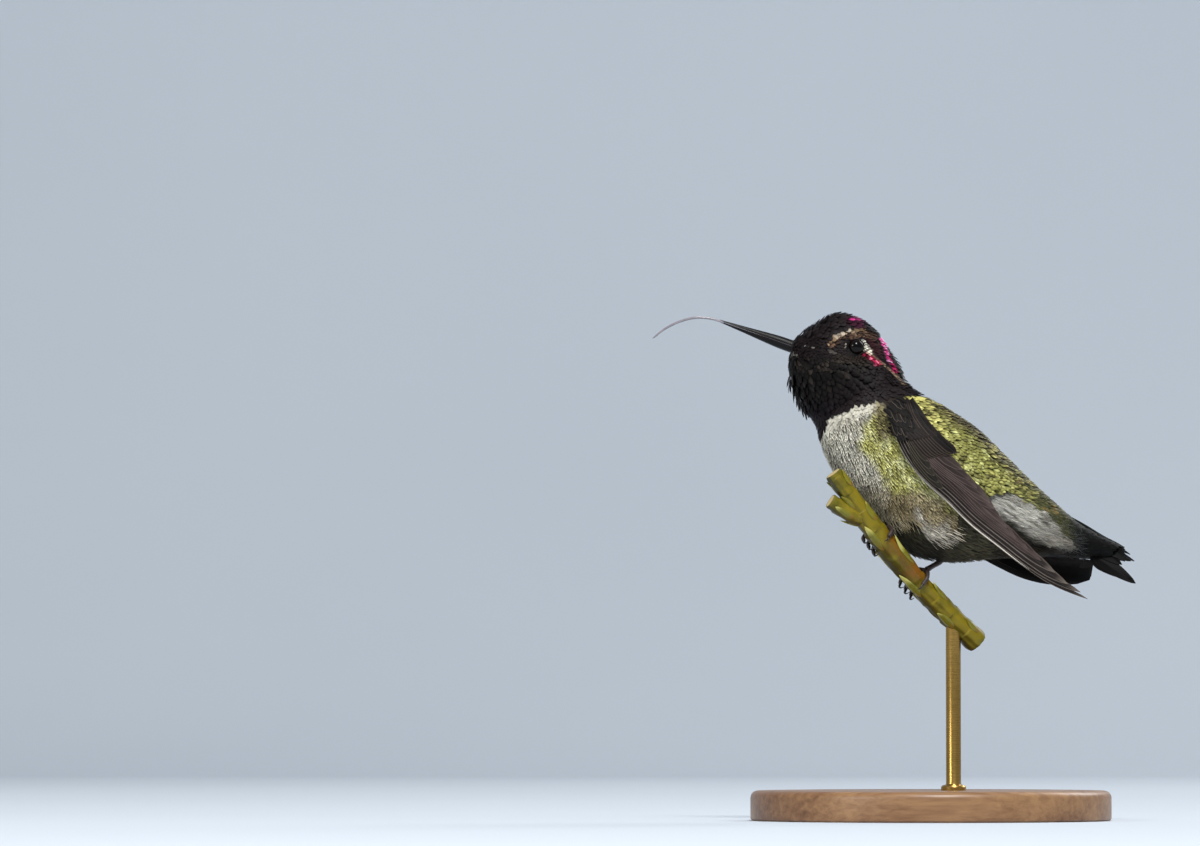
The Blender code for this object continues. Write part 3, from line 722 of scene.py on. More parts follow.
def add_marking(mesh, colours):
    """The plumage's colours, one for each vertex."""
    layer = mesh.color_attributes.new(name="marking", type="FLOAT_COLOR", domain="POINT")
    full = np.ones((len(mesh.vertices), 4), dtype=np.float32)
    full[:, :3] = colours
    layer.data.foreach_set("color", full.ravel())


eye_boxes = {side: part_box("eye_" + side) for side in ("left", "right")}
EYES = {side: np.array((low + high) / 2) / MM for side, (low, high) in eye_boxes.items()}
EYE_RADIUS = (eye_boxes["left"][1].x - eye_boxes["left"][0].x) / 2 / MM


def eye_reach(place):
    """How far a place is from the line straight out through the nearer eye."""
    return np.linalg.norm(place[:, ::2] - EYES["left"][::2], axis=1)


def coat_depth(u):
    """How far the skin is below the coat's surface."""
    return np.interp(u * (len(COAT_DEPTHS) - 1), range(len(COAT_DEPTHS)), COAT_DEPTHS)


def skin_place(share, around):
    place, out = body_frame(share, TURN * around)[:2]
    socket = 0.45 * np.exp(-((eye_reach(place) - 1.9) / 0.45) ** 2)
    return place - out * (coat_depth(share) + socket)[:, None]


def places_of(piece):
    """The places of a piece's vertices in millimetres."""
    return np.array([vert.co for vert in piece.data.vertices]) / MM


def link_marking(tree, shader, light, barbs, strength, distance):
    """Gives a shader the marking, lighter and darker with the barbs, and the barbs' relief."""
    pattern = add_node(tree, "Attribute", attribute_name="marking")
    lit = add_node(tree, "VectorMath", {0: pattern.outputs["Color"], "Scale": light.outputs[0]},
                   operation="SCALE")
    relief = add_node(tree, "Bump", {"Height": barbs.outputs["Fac"], "Strength": strength,
                                     "Distance": distance})
    link_looks(tree, shader, lit.outputs[0], relief)


down, tree, shader = new_material("downy_skin", Roughness=0.9)
coords = add_node(tree, "TexCoord").outputs["Object"]
fluff = add_node(tree, "TexNoise", {"Vector": coords, "Scale": 3500.0, "Detail": 3.0})
# The marking is dimmed to 0.15 to 0.45 with the fluff's noise: painted shade over the down's own tone.
depth = add_node(tree, "MapRange", {"Value": fluff.outputs["Fac"], "To Min": 0.15, "To Max": 0.45})
link_marking(tree, shader, depth, fluff, 0.6, 0.00015)
skin = add_piece("body_skin", wrapped_grid(*SKIN_STEPS, skin_place), down, 60.0)
add_marking(skin.data, marking(places_of(skin)))
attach(skin, "root")
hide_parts("head", "neck", "trunk", "rump")


# Coat: body feathers in staggered rows, each rooted on the skin and lying back over the next.
# Head, throat and back carry rounded scales with a metallic sheen; breast, flanks and belly
# carry loose feathers whose barbs part at the tip like hair; the vent has soft white fluff.
SCALE = ((0.0, 0.3, 0.58, 0.8, 0.94, 1.0), (0.4, 0.8, 1.0, 0.92, 0.6, 0.16))
SPIKE = ((0.0, 0.35, 0.7, 0.9, 1.0), (0.5, 0.95, 0.95, 0.5, 0.05))
BARB = ((0.0, 0.5, 0.80, 1.0), (0.8, 1.0, 0.92, 0.25))
WISP = ((0.0, 0.3, 0.6, 0.85, 1.0), (0.7, 1.0, 0.8, 0.5, 0.04))
VANE_THICK = 0.04
VANE_SIDES = (0.0, 0.5, 1.0, 0.5)
VANE_SHARP = 55.0
ARCHES = {"collar_feathers": 0.03, "face_feathers": 0.06, "crown_feathers": 0.10}
USUAL_ARCH = 0.16
EVENNESS = {"left_breast_feathers": 0.12, "right_breast_feathers": 0.12}
USUAL_EVENNESS = 0.3
HEAD_SHARE = 0.5
LID_CLEARANCE = 0.12
SHORT_ROUND_EYE = 3.4
PRESSED_HEIGHT = 0.1
BEARD = 0.9
PATCH = 0.003


def round_the_eyes(place, out, ahead):
    """Turns the lie of the coat so that it parts in front of an eye and closes behind it."""
    for eye in EYES.values():
        off = place - eye
        off = off - out * (off * out).sum(1)[:, None]
        reach = np.linalg.norm(off, axis=1)
        near = unit(off)
        parting = ahead - 2 * (ahead * near).sum(1)[:, None] * near
        pull = (EYE_HOLE + 0.1) ** 2 / np.maximum(reach, EYE_HOLE) ** 2
        same_side = np.abs(place[:, 1] - eye[1]) < 4.0
        ahead = ahead + pull[:, None] * parting * same_side[:, None]
    return unit(ahead)


def grow(u, turn, aim, bend, length, width, low, high, outline, arch):
    """Vanes that run over the body from their roots: points by vane, row and side of the row."""
    shares, widths = outline
    rows = []
    for k, share in enumerate(shares):
        place, out, lie, slope_u, slope_turn = body_frame(u, turn)
        angle = (aim + bend * share)[:, None]
        ahead = round_the_eyes(place, out, lie * np.cos(angle) + np.cross(out, lie) * np.sin(angle))
        across = np.cross(out, ahead)
        sink = 0.35 * np.exp(-(np.maximum(eye_reach(place) - EYE_HOLE, 0.0) / 0.7) ** 2) * (u < HEAD_SHARE)
        middle = place + out * (low + (high - low) * share ** 0.8 - sink * share)[:, None]
        half = (width / 2 * widths[k])[:, None]
        dome = out * half * arch
        rows.append(np.stack([middle - across * half, middle + dome + out * VANE_THICK,
                              middle + across * half, middle + dome], axis=1))
        if k + 1 < len(shares):
            move = ahead * (length * (shares[k + 1] - share))[:, None]
            uu, ut, tt = ((a * b).sum(1) for a, b in
                          ((slope_u, slope_u), (slope_u, slope_turn), (slope_turn, slope_turn)))
            by_u, by_turn = (move * slope_u).sum(1), (move * slope_turn).sum(1)
            u = u + (by_u * tt - by_turn * ut) / (uu * tt - ut * ut)
            turn = turn + (by_turn * uu - by_u * ut) / (uu * tt - ut * ut)
    return np.stack(rows, axis=1)


def add_vanes(name, points, shares, across, colours, patch_places, lanes, material):
    """One joined mesh of closed vanes, with their colours, their own map and the bake's map."""
    count, rows, sides = points.shape[:3]
    number = np.arange(count * rows * sides).reshape(count, rows, sides)
    near = np.roll(number, -1, axis=2)
    faces = np.stack([number[:, :-1], number[:, 1:], near[:, 1:], near[:, :-1]], axis=-1).reshape(-1, 4)
    corners = points.reshape(-1, 3)[faces]
    inside_out = np.einsum("ij,ij->", corners[:, 0], np.cross(corners[:, 1], corners[:, 2])
                           + np.cross(corners[:, 2], corners[:, 3])) < 0
    every = faces.tolist() + number[:, 0].tolist() + number[:, -1, ::-1].tolist()
    if inside_out:
        every = [face[::-1] for face in every]
    mesh = bpy.data.meshes.new(name)
    mesh.from_pydata(points.reshape(-1, 3) * MM, [], every)
    add_marking(mesh, colours.reshape(-1, 3))
    along = np.broadcast_to(np.asarray(shares)[None, :, None], (count, rows, sides))
    aside = np.broadcast_to(np.asarray(across)[None, None, :], (count, rows, sides))
    add_uv(mesh, "vane", np.stack([along, aside], axis=-1).reshape(-1, 2))
    lane, lane_count = lanes
    in_lane = (lane[:, None, None] + 0.1 + 0.8 * aside) / lane_count
    place_x = patch_places[0][:, None, None] + PATCH * (in_lane - 0.5)
    place_y = patch_places[1][:, None, None] + PATCH * (along - 0.5)
    add_uv(mesh, "OFBake", np.stack([place_x, place_y], axis=-1).reshape(-1, 2))
    return finished(name, mesh, material, VANE_SHARP)


def staggered_roots(first, last, along, across, rng):
    """Roots in staggered rows round the body, between two shares of its length."""
    samples = np.linspace(0.0, TURN, 97)
    roots = []
    u = first
    odd = 0
    while u < last:
        slope_u, slope_turn = body_frame(np.full(97, u), samples)[3:]
        girth = np.concatenate([[0.0], np.cumsum(np.linalg.norm(slope_turn[1:], axis=1) * TURN / 96)])
        count = max(3, round(girth[-1] / across))
        shares = (np.arange(count) + 0.5 * odd + 0.28 * (rng.random(count) - 0.5)) / count
        turns = np.interp(shares * girth[-1], girth, samples)
        pace = np.linalg.norm(slope_u, axis=1).mean()
        roots.append(np.stack([u + along / pace * 0.3 * (rng.random(count) - 0.5), turns], axis=1))
        u += along / pace
        odd = 1 - odd
    return np.concatenate(roots).T


def feather_material(name, **even):
    """Feather keratin: the vane's marking under fine barbs, which are drawn coarser than life."""
    made, tree, shader = new_material(name, **even)
    vane = add_node(tree, "UVMap", uv_map="vane")
    coords = add_node(tree, "TexCoord").outputs["Object"]
    barbs = add_node(tree, "Mapping", {"Vector": vane.outputs[0], "Scale": (2.0, 14.0, 1.0)})
    speck = add_node(tree, "VectorMath", {0: coords, "Scale": 900.0}, operation="SCALE")
    both = add_node(tree, "VectorMath", {0: barbs.outputs[0], 1: speck.outputs[0]}, operation="ADD")
    hairs = add_node(tree, "TexNoise", {"Vector": both.outputs[0], "Scale": 1.0, "Detail": 2.0})
    light = add_node(tree, "MapRange", {"Value": hairs.outputs["Fac"], "From Min": 0.25,
                                        "From Max": 0.75, "To Min": 0.72, "To Max": 1.25})
    link_marking(tree, shader, light, hairs, 0.3, 0.00006)
    return made


# Back scales glint like old bronze and gorget scales stay nearly black with a dull gleam. Loose
# barbs are matt, and fluff scatters light, so that its edges look soft.
metallic_scale = feather_material("metallic_feather_scale", Roughness=0.42, Metallic=0.20,
                                  Specular_IOR_Level=0.2)
gorget_scale = feather_material("dark_gorget_scale", Roughness=0.50, Specular_IOR_Level=0.09)
loose_vane = feather_material("loose_feather_barb", Roughness=0.7, Specular_IOR_Level=0.3,
                              Sheen_Weight=0.1, Sheen_Roughness=0.4)
white_fluff = feather_material("downy_feather_fluff", Roughness=0.85, Sheen_Weight=0.4,
                               Sheen_Roughness=0.5)
GORGET = (gorget_scale, "gorget_feather")
LOOSE = (loose_vane, "body_feather")
FLUFF = (white_fluff, "body_feather")
TAIL_COVERT = (gorget_scale, "body_feather")
BREAST = (0.36, 0.80, 0.56, 1.02, 2.1, 0.21, 5, 0.14, 0.20, BARB, 0.20,
          (0.30, 0.80, 1.35), (0.64, 1.0)) + LOOSE
TRACTS = (
    # name, first and last share, spacing along and across, length, width, barbs, fan in radians,
    # tip height, outline, tint spread, painted light at root, edges and tip, where it rises, material, slot
    ("crown_feathers", 0.012, 0.46, 0.80, 0.75, 2.0, 1.05, 1, 0.0, 0.26, SCALE, 0.16,
     (0.5, 0.8, 1.05), (0.3, 0.8)) + GORGET,
    ("face_feathers", 0.012, 0.46, 0.42, 0.40, 1.15, 0.5, 1, 0.0, 0.05, SCALE, 0.14,
     (0.6, 0.85, 1.1), (0.2, 0.6)) + GORGET,
    ("chin_feathers", 0.012, 0.46, 0.68, 0.64, 1.8, 0.85, 1, 0.0, 0.18, SCALE, 0.2,
     (0.4, 0.5, 1.2), (0.3, 0.8)) + GORGET,
    ("throat_feathers", 0.012, 0.50, 1.15, 1.08, 2.9, 1.45, 1, 0.0, 0.42, SPIKE, 0.3,
     (0.2, 0.22, 0.8), (0.45, 0.85)) + GORGET,
    ("collar_feathers", 0.10, 0.52, 0.66, 0.60, 2.3, 0.9, 1, 0.0, 0.04, SCALE, 0.05,
     (0.9, 0.97, 1.0), (0.2, 0.6)) + GORGET,
    ("back_feathers", 0.40, 0.95, 0.66, 0.60, 2.7, 0.84, 1, 0.0, 0.24, SCALE, 0.17,
     (0.18, 0.58, 1.0), (0.34, 0.84), metallic_scale, "body_feather"),
    ("left_breast_feathers",) + BREAST,
    ("right_breast_feathers",) + BREAST,
    ("belly_feathers", 0.50, 0.97, 1.1, 1.05, 3.2, 0.3, 5, 0.3, 0.15, BARB, 0.25,
     (0.3, 0.7, 1.1), (0.3, 0.8)) + LOOSE,
    ("fringe_wisps", 0.50, 0.80, 0.95, 0.95, 3.5, 0.13, 6, 0.50, 0.60, WISP, 0.38,
     (0.4, 0.8, 1.15), (0.2, 0.7)) + FLUFF,
    ("upper_tail_coverts", 0.84, 1.0, 1.25, 1.15, 5.4, 1.9, 1, 0.0, 0.25, SCALE, 0.15,
     (0.4, 0.7, 1.1), (0.3, 0.8)) + TAIL_COVERT,
    ("under_tail_coverts", 0.86, 1.0, 1.2, 1.1, 5.0, 1.8, 1, 0.0, 0.2, SCALE, 0.15,
     (0.5, 1.3, 1.2), (0.3, 0.8)) + TAIL_COVERT,
    ("vent_fluff", 0.70, 0.97, 0.8, 0.75, 4.6, 0.20, 5, 0.20, 0.35, WISP, 0.14,
     (0.55, 0.85, 1.1), (0.2, 0.8)) + FLUFF,
)


def pressed_flat(place):
    """Where a wing lies over the body, so that the coat under it is pressed flat."""
    line = above(place, WING_LINE)
    return step(line, -7.5, -6.0) * (1 - step(line, 1.5, 3.0)) * step(place[:, 0], -7.0, -4.0) > 0.5


def tract_roots(u, turn, place):
    """Which roots belong to each tract. A back feather is placed by its tip, 2.8 mm behind."""
    x, z = place[:, 0], place[:, 2]
    throat, crown, chin, scaly, wing, fringe, vent_top, vent_foot = (above(place, line) for line in (
        THROAT_EDGE, CROWN_LINE, CHIN_LINE, SCALY_EDGE, WING_LINE, FRINGE_EDGE, VENT_TOP, VENT_FOOT))
    back_tips = above(place + 2.8 * body_frame(u, turn)[2], VENT_TOP)
    on_head, on_top = throat > -0.4, np.cos(turn) > -0.1
    below_chin = on_head & (chin < 0)
    front = (throat < 0.1) & (wing < -0.6) & (fringe > -0.5) & (x < 13.0)
    return {
        "crown_feathers": on_head & (crown > 0),
        "face_feathers": on_head & (crown <= 0) & (chin >= 0),
        "chin_feathers": below_chin & (z > 90.0) & (scaly > 0),
        "throat_feathers": below_chin & (z <= 90.3) & (scaly > -0.2),
        "collar_feathers": below_chin & (scaly <= 0.3),
        "back_feathers": (throat < 0.1) & (wing > -1.0) & ((back_tips > 0.2) | (x < 6.8)) & (u < 0.93),
        "left_breast_feathers": front & (np.sin(turn) < 0),
        "right_breast_feathers": front & (np.sin(turn) >= 0),
        "belly_feathers": ((fringe < -0.2) & (x < 13.0)) | ((x >= 12.5) & (vent_foot < 0.3)),
        "fringe_wisps": (fringe > -0.1) & (fringe < 1.7) & (x > -13.0) & (x < 3.4),
        "upper_tail_coverts": on_top & ((vent_top > -0.8) | (x > 27.5)),
        "under_tail_coverts": ~on_top,
        "vent_fluff": (x > 6.6) & (x < 27.5) & (vent_top < 1.4) & (vent_foot > -0.8),
    }


for seed, tract in enumerate(TRACTS):
    (name, first, last, along, across, length, width, barbs, fan, high, outline, spread, lights,
     lit, material, slot_name) = tract
    rng = np.random.default_rng(100 + seed)
    u, turn = staggered_roots(first, last, along, across, rng)
    place, slope_turn = body_frame(u, turn)[::4]
    keep = tract_roots(u, turn, place)[name]
    keep &= (eye_reach(place) > EYE_HOLE + LID_CLEARANCE) | (u > HEAD_SHARE)
    u, turn, place, slope_turn = u[keep], turn[keep], place[keep], slope_turn[keep]
    feather_tint = 1 + spread * rng.normal(size=len(u))
    lane = np.tile(np.arange(barbs), len(u))
    off = (lane - (barbs - 1) / 2) / max(barbs - 1, 1)
    u, turn, place, slope_turn, feather_tint = (np.repeat(values, barbs, axis=0) for values in
                                                (u, turn, place, slope_turn, feather_tint))
    total = len(u)
    loose = barbs > 1
    root_turn = turn + off * across * 0.9 / np.linalg.norm(slope_turn, axis=1)
    uneven = EVENNESS.get(name, USUAL_EVENNESS)
    aim = fan * off + 0.47 * uneven * rng.normal(size=total)
    reach = eye_reach(place)
    long = length * (1 + uneven * (rng.random(total) - 0.5)) * (1 - 0.22 * np.abs(off) * loose)
    long = np.where((reach < SHORT_ROUND_EYE) & (u < HEAD_SHARE),
                    np.minimum(long, 0.35 + 0.45 * (reach - EYE_HOLE)), long)
    wide = width * (0.85 + 0.3 * rng.random(total))
    tip = high + 0.4 * uneven * rng.normal(size=total) * loose + 0.04 * rng.normal(size=total)
    if name == "throat_feathers":
        tip += BEARD * step(-np.cos(turn), 0.80, 0.97) * (0.25 + rng.random(total))
    tip = np.where(pressed_flat(place), np.minimum(tip, PRESSED_HEIGHT), tip)
    points = grow(u, root_turn, aim, 0.1 * rng.normal(size=total), long, wide, -0.9 * coat_depth(u), tip,
                  outline, ARCHES.get(name, USUAL_ARCH))
    seen = place if name == "fringe_wisps" else points[:, -2, 1]
    tint = feather_tint * (1 + 0.6 * spread * rng.normal(size=total) * loose)
    base_tone = marking(seen) * np.clip(tint, 0.35, 1.8)[:, None]
    # Painted light and shade on each vane: dark at the root where the row in front lies over it, bright at
    # the open tip, and darker at the edges and underside than on the ridge.
    root_light, edge_light, tip_light = lights
    shares = np.array(outline[0])
    light = root_light + (1 - root_light) * step(shares, *lit)
    light = light + (tip_light - 1) * step(shares, 0.85, 1.0)
    edge = np.array((edge_light, 1.0, edge_light, 0.8))
    colours = base_tone[:, None, None, :] * light[None, :, None, None] * edge[None, None, :, None]
    coat_piece = add_vanes(name, points, shares, VANE_SIDES, colours, (turn / TURN, u), (lane, barbs),
                           material)
    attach(coat_piece, "root")


# Eyes: wet, almost black balls with a clear cornea over a dark brown iris, each held by a ring
# of bare, finely beaded lid that is drawn to a corner in front and behind. The cornea is smooth
# and gives one sharp small highlight; the lid's beads are about 0.2 mm across.
IRIS_REACH = 1.28
PUPIL_REACH = 0.92
CORNEA_BULGE = 0.015
LID_OPENING = math.radians(72.0)
LID_CORNER = math.radians(5.0)
LID_DROOP = math.radians(3.0)
LID_WIDTH = math.radians(10.0)
LID_THICK = 0.10
LID_BEADS = 5500.0
FORWARD = np.array((-1.0, 0.0, 0.28))
SIDEWAYS = np.array((0.0, 1.0, 0.0))
BACK_OF_EYE = 9.0
wet_eye, tree, shader = new_material("wet_cornea", Roughness=0.02, IOR=1.376, Specular_IOR_Level=0.32)
ball_map = add_node(tree, "UVMap", uv_map="ball")
ball_parts = add_node(tree, "SeparateXYZ", {0: ball_map.outputs[0]})
fibres = add_node(tree, "Mapping", {"Vector": ball_map.outputs[0], "Scale": (60.0, 0.8, 1.0)})
iris = two_tones(tree, fibres.outputs[0], 1.0, 2.0, "#0C0706", "#160D09")[1]
in_pupil = add_node(tree, "MapRange", {"Value": ball_parts.outputs[1], "From Min": PUPIL_REACH - 0.06,
                                       "From Max": PUPIL_REACH + 0.06})
seen = add_node(tree, "Mix", {0: in_pupil.outputs[0], 6: "#050404", 7: iris}, data_type="RGBA")
in_white = add_node(tree, "MapRange", {"Value": ball_parts.outputs[1], "From Min": IRIS_REACH,
                                       "From Max": IRIS_REACH + 0.2})
ball_tone = add_node(tree, "Mix", {0: in_white.outputs[0], 6: seen.outputs[2], 7: "#0A0706"},
                     data_type="RGBA")
link_looks(tree, shader, ball_tone.outputs[2])

lid_skin, tree, shader = new_material("bare_lid_skin", Roughness=0.55)
coords = add_node(tree, "TexCoord").outputs["Object"]
beads = add_node(tree, "TexVoronoi", {"Vector": coords, "Scale": LID_BEADS})
bead_tone = add_node(tree, "Mix", {0: beads.outputs["Distance"], 6: "#1E1714", 7: "#0C0908"},
                     data_type="RGBA")
bead_relief = add_node(tree, "Bump", {"Height": beads.outputs["Distance"], "Strength": 0.5,
                                      "Distance": 0.00005}, invert=True)
link_looks(tree, shader, bead_tone.outputs[2], bead_relief)


def nearest_surface(spot):
    """The place on the coat nearest a spot, and the way out there."""
    u, turn = np.meshgrid(np.linspace(0.0, 1.0, 241), np.linspace(0.0, TURN, 181))
    place, out = body_frame(u.ravel(), turn.ravel())[:2]
    best = np.argmin(np.linalg.norm(place - spot, axis=1))
    return place[best], out[best]


for side, centre in EYES.items():
    outward = nearest_surface(centre)[1]
    outward = unit(outward + SIDEWAYS * math.copysign(2.0, centre[1]))
    forward = unit(FORWARD - outward * (outward @ FORWARD))
    upward = np.cross(forward, outward) * math.copysign(1.0, centre[1])

    def from_eye(angle, around, radius):
        """A place at an angle from the way the eye looks, and round it from the front corner."""
        flat = forward * np.cos(around)[:, None] + upward * np.sin(around)[:, None]
        ray = outward * np.cos(angle)[:, None] + flat * np.sin(angle)[:, None]
        return centre + ray * radius[:, None]

    def ball_place(share, around):
        bulge = 1.0 - CORNEA_BULGE * step(share, 0.0, 0.5)
        return from_eye(math.pi * share, TURN * around, EYE_RADIUS * bulge)

    def lid_place(share, around):
        corner = LID_CORNER * np.abs(np.cos(TURN * around)) ** 6
        opening = LID_OPENING + corner - LID_DROOP * np.abs(np.sin(TURN * around))
        angle = opening + LID_WIDTH * (0.5 - 0.5 * np.cos(TURN * share))
        return from_eye(angle, TURN * around, EYE_RADIUS + 0.02 + LID_THICK * np.sin(TURN * share))

    eyeball = add_piece(side + "_eyeball", wrapped_grid(40, 48, ball_place), wet_eye, 80.0)
    off = places_of(eyeball) - centre
    out = off @ outward
    reach = np.linalg.norm(off - np.outer(out, outward), axis=1) + BACK_OF_EYE * (out < 0)
    around = np.arctan2(off @ upward, off @ forward) / TURN
    add_uv(eyeball.data, "ball", np.stack([around, reach], axis=1))
    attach(eyeball, "root")
    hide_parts("eye_" + side)
    lid_ring = add_piece(side + "_lids", wrapped_grid(10, 64, lid_place), lid_skin, 80.0)
    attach(lid_ring, "root")


# Bill: two mandibles of black horn over bone, a little open for the tongue. Their cutting edges
# meet in a fine reddish line, and they run on back under the feathers of the face. The horn has
# a dull polish, with fine growth lines along it.
BILL_BASE = np.array((-27.0, 0.0, 94.5))
BILL_TIP = np.array((-42.3, 0.0, 99.95))
BILL_DEPTHS = (2.55, 2.45, 2.0, 1.45, 0.95, 0.45)
BILL_WIDTHS = (2.7, 2.2, 1.7, 1.3, 0.85, 0.35)
BILL_OPEN = 0.05
BILL_HOLLOW = 0.10
MANDIBLES = (
    # piece, the node it replaces, up or down, share of the bill's width
    ("upper_mandible", "bill_upper", 1.0, 1.0),
    ("lower_mandible", "bill_lower", -1.0, 0.92),
)
horn, tree, shader = new_material("black_bill_horn", Roughness=0.36, Specular_IOR_Level=0.2)
bill_map = add_node(tree, "UVMap", uv_map="bill")
bill_parts = add_node(tree, "SeparateXYZ", {0: bill_map.outputs[0]})
grain = add_node(tree, "Mapping", {"Vector": bill_map.outputs[0], "Scale": (5.0, 60.0, 1.0)})
growth, black = two_tones(tree, grain.outputs[0], 1.0, 4.0, "#050404", "#141011")
edge_share = add_node(tree, "MapRange", {"Value": bill_parts.outputs[1], "From Min": 0.14,
                                         "From Max": 0.02})
edge_tone = add_node(tree, "Mix", {0: edge_share.outputs[0], 6: black, 7: "#3A2018"}, data_type="RGBA")
relief = add_node(tree, "Bump", {"Height": growth.outputs["Fac"], "Strength": 0.3, "Distance": 0.00006})
link_looks(tree, shader, edge_tone.outputs[2], relief)
bill_way = unit(BILL_TIP - BILL_BASE)
bill_up = np.cross(SIDEWAYS, bill_way)
bill_length = np.linalg.norm(BILL_TIP - BILL_BASE)
for name, node_name, way, breadth in MANDIBLES:
    def mandible_place(share, around):
        half_depth = spline(BILL_DEPTHS, share) / 2
        half_width = spline(BILL_WIDTHS, share) / 2 * breadth
        rounding = np.sqrt(np.clip(np.minimum(share * 40, (1 - share) * 60), 0.0, 1.0))
        turn = TURN * around
        bow = np.abs(np.sin(turn))
        rise = np.where(np.sin(turn) > 0, bow ** 0.9, BILL_HOLLOW * bow)
        height = BILL_OPEN * way + way * (half_depth - BILL_OPEN) * rounding * rise
        return (BILL_BASE + bill_way * (share * bill_length)[:, None] + bill_up * height[:, None]
                + SIDEWAYS * (half_width * rounding * np.cos(turn))[:, None])

    bill_piece = add_piece(name, wrapped_grid(72, 28, mandible_place), horn, 60.0)
    off = places_of(bill_piece) - BILL_BASE
    add_uv(bill_piece.data, "bill", np.stack([off @ bill_way / bill_length, np.abs(off @ bill_up)], axis=1))
    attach(bill_piece, "root")
    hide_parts(node_name)


# Tongue: a thin, clear strip of two gutters side by side, wet and faintly mauve. It comes out
# between the tips of the bill and droops in one arc.
TONGUE_ROUTE = ((-41.0, 0.0, 99.45), (-43.6, 0.0, 100.25), (-46.8, 0.0, 100.5), (-50.1, 0.0, 99.7),
                (-53.1, 0.0, 98.2), (-55.5, 0.0, 96.3))
TONGUE_HALF_WIDTHS = (0.30, 0.32, 0.34, 0.34, 0.32, 0.2)
TONGUE_HALF_THICKS = (0.22, 0.28, 0.31, 0.30, 0.26, 0.17)
TONGUE_CLEFT = 0.45
clear_flesh, tree, shader = new_material("clear_tongue_flesh", Roughness=0.25, Subsurface_Weight=0.15,
                                         Subsurface_Scale=0.0005, Coat_Weight=0.3, Coat_Roughness=0.12)
coords = add_node(tree, "TexCoord").outputs["Object"]
link_looks(tree, shader, two_tones(tree, coords, 420.0, 3.0, "#6F6A70", "#A8A2A8")[1])


def tongue_place(share, around):
    centre, along = route_frame(TONGUE_ROUTE, share)[:2]
    turn = TURN * around
    rounding = np.sqrt(np.clip(np.minimum(share * 60, (1 - share) * 30), 0.0, 1.0))
    cleft = 1 - TONGUE_CLEFT * np.exp(-(np.cos(turn) / 0.3) ** 2)
    wide = spline(TONGUE_HALF_WIDTHS, share) * rounding * np.cos(turn)
    thick = spline(TONGUE_HALF_THICKS, share) * rounding * np.sin(turn) * cleft
    return centre + SIDEWAYS * wide[:, None] + np.cross(along, SIDEWAYS) * thick[:, None]


tongue = add_piece("tongue_strip", wrapped_grid(60, 20, tongue_place), clear_flesh, 70.0)
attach(tongue, "root")
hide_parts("tongue")


# Wings: half-folded blades of ten primaries and six secondaries, stiff keratin vanes on a
# raised shaft. Each feather's front edge lies over the feather in front of it, like slates,
# and rows of short coverts hide their roots. Their barbs are drawn coarser than life.
WINGS = {
    # side: way out, wrist, tip, leading edge, trailing edge
    "left": (-1, (-8.0, 82.0), (31.3, 44.2), (-1.8, -4.9, -6.3, -6.1, -6.1, -5.4, -4.6, -3.2, -0.7),
             (2.1, 3.6, 2.9, 1.4, 0.6, -0.8, -0.6, -0.2, 0.0)),
    "right": (1, (-9.5, 79.2), (31.4, 48.7), (-1.8, -4.8, -6.8, -7.6, -8.2, -8.4, -7.5, -5.4, -1.0),
              (2.1, 3.4, 3.2, 2.4, 2.2, 2.4, 3.0, 3.2, 1.6)),
}
WING_LENGTHS = {side: float(np.linalg.norm(np.subtract(wing[2], wing[1]))) for side, wing in WINGS.items()}
FULL_WING = 54.5
FACE_GRID = (28, 9)
PRIMARY_TIPS = {"left": (28.6, 30.6, 32.9, 35.6, 38.8, 42.4, 46.0, 49.4, 52.4, 54.4),
                "right": (28.6, 30.6, 32.9, 36.6, 43.5, 51.6, 55.4, 55.6, 53.6, 50.6)}
SECONDARY_TIPS = (28.6, 27.2, 25.4, 23.2, 21.0, 18.6)
WING_BROWNS = ("#4B3F3B", "#453A37", "#50443F", "#483D39")
WING_DARKS = ("#2B2523", "#332C29")
COVERT_BLACKS = ("#120E0C", "#0A0807")
COVERT_RIMS = ("#6E6356", "#2A241F")
# The near wing's pale strip along the outermost primary is a painted highlight; on the far wing the same
# strip is dark, painted shade.
OUTER_EDGES = {"left": ("#EDE5D6", "#F5EEE0"), "right": ("#4A423B", "#3A332E")}
COVERTS = {
    # row: feathers, then what the first has and each next one gains of root, tip, offset at root,
    # offset at tip and lift; half vanes, taper, colours by turns, edge
    "primary_coverts": (7, (3.0, 1.0), (9.4, 1.5), (3.9, -0.42), (4.0, -0.45), (0.20, 0.0),
                        (0.60, 0.95), 1.5, ("#2A2620", "#1F1C18"), "#5F5748"),
    "greater_coverts": (8, (1.5, 0.0), (12.8, 0.40), (3.2, 0.46), (4.3, 0.62), (0.30, 0.03),
                        (0.95, 1.05), 1.7, ("#1C1411", "#120D0B"), "#4A3F38"),
    "median_coverts": (7, (0.8, 0.0), (7.4, 0.5), (2.6, 0.45), (3.1, 0.80), (0.46, 0.0),
                       (0.95, 1.05), 2.2, ("#1D1512", "#14100E"), "#2E2520"),
}
WING_ROWS = {
    # row: points along each feather, tilt, rise, painted light and shade along the wing, seed
    "primaries": (30, 0.12, 0.0, ((6.0, 0.20), (16.0, 0.31), (24.0, 0.62), (30.0, 1.0), (54.0, 0.66)), 31),
    "secondaries": (22, 0.08, 0.0, ((8.0, 0.22), (16.0, 0.46), (28.0, 0.95)), 32),
    "primary_coverts": (16, 0.10, 0.15, ((0.0, 0.8), (20.0, 1.1)), 33),
    "greater_coverts": (16, 0.06, 0.10, ((0.0, 1.0), (18.0, 1.0)), 34),
    "median_coverts": (12, 0.05, 0.25, ((0.0, 1.0), (18.0, 1.0)), 35),
    "lesser_coverts": (8, 0.04, 0.35, ((0.0, 1.0), (18.0, 1.0)), 36),
}
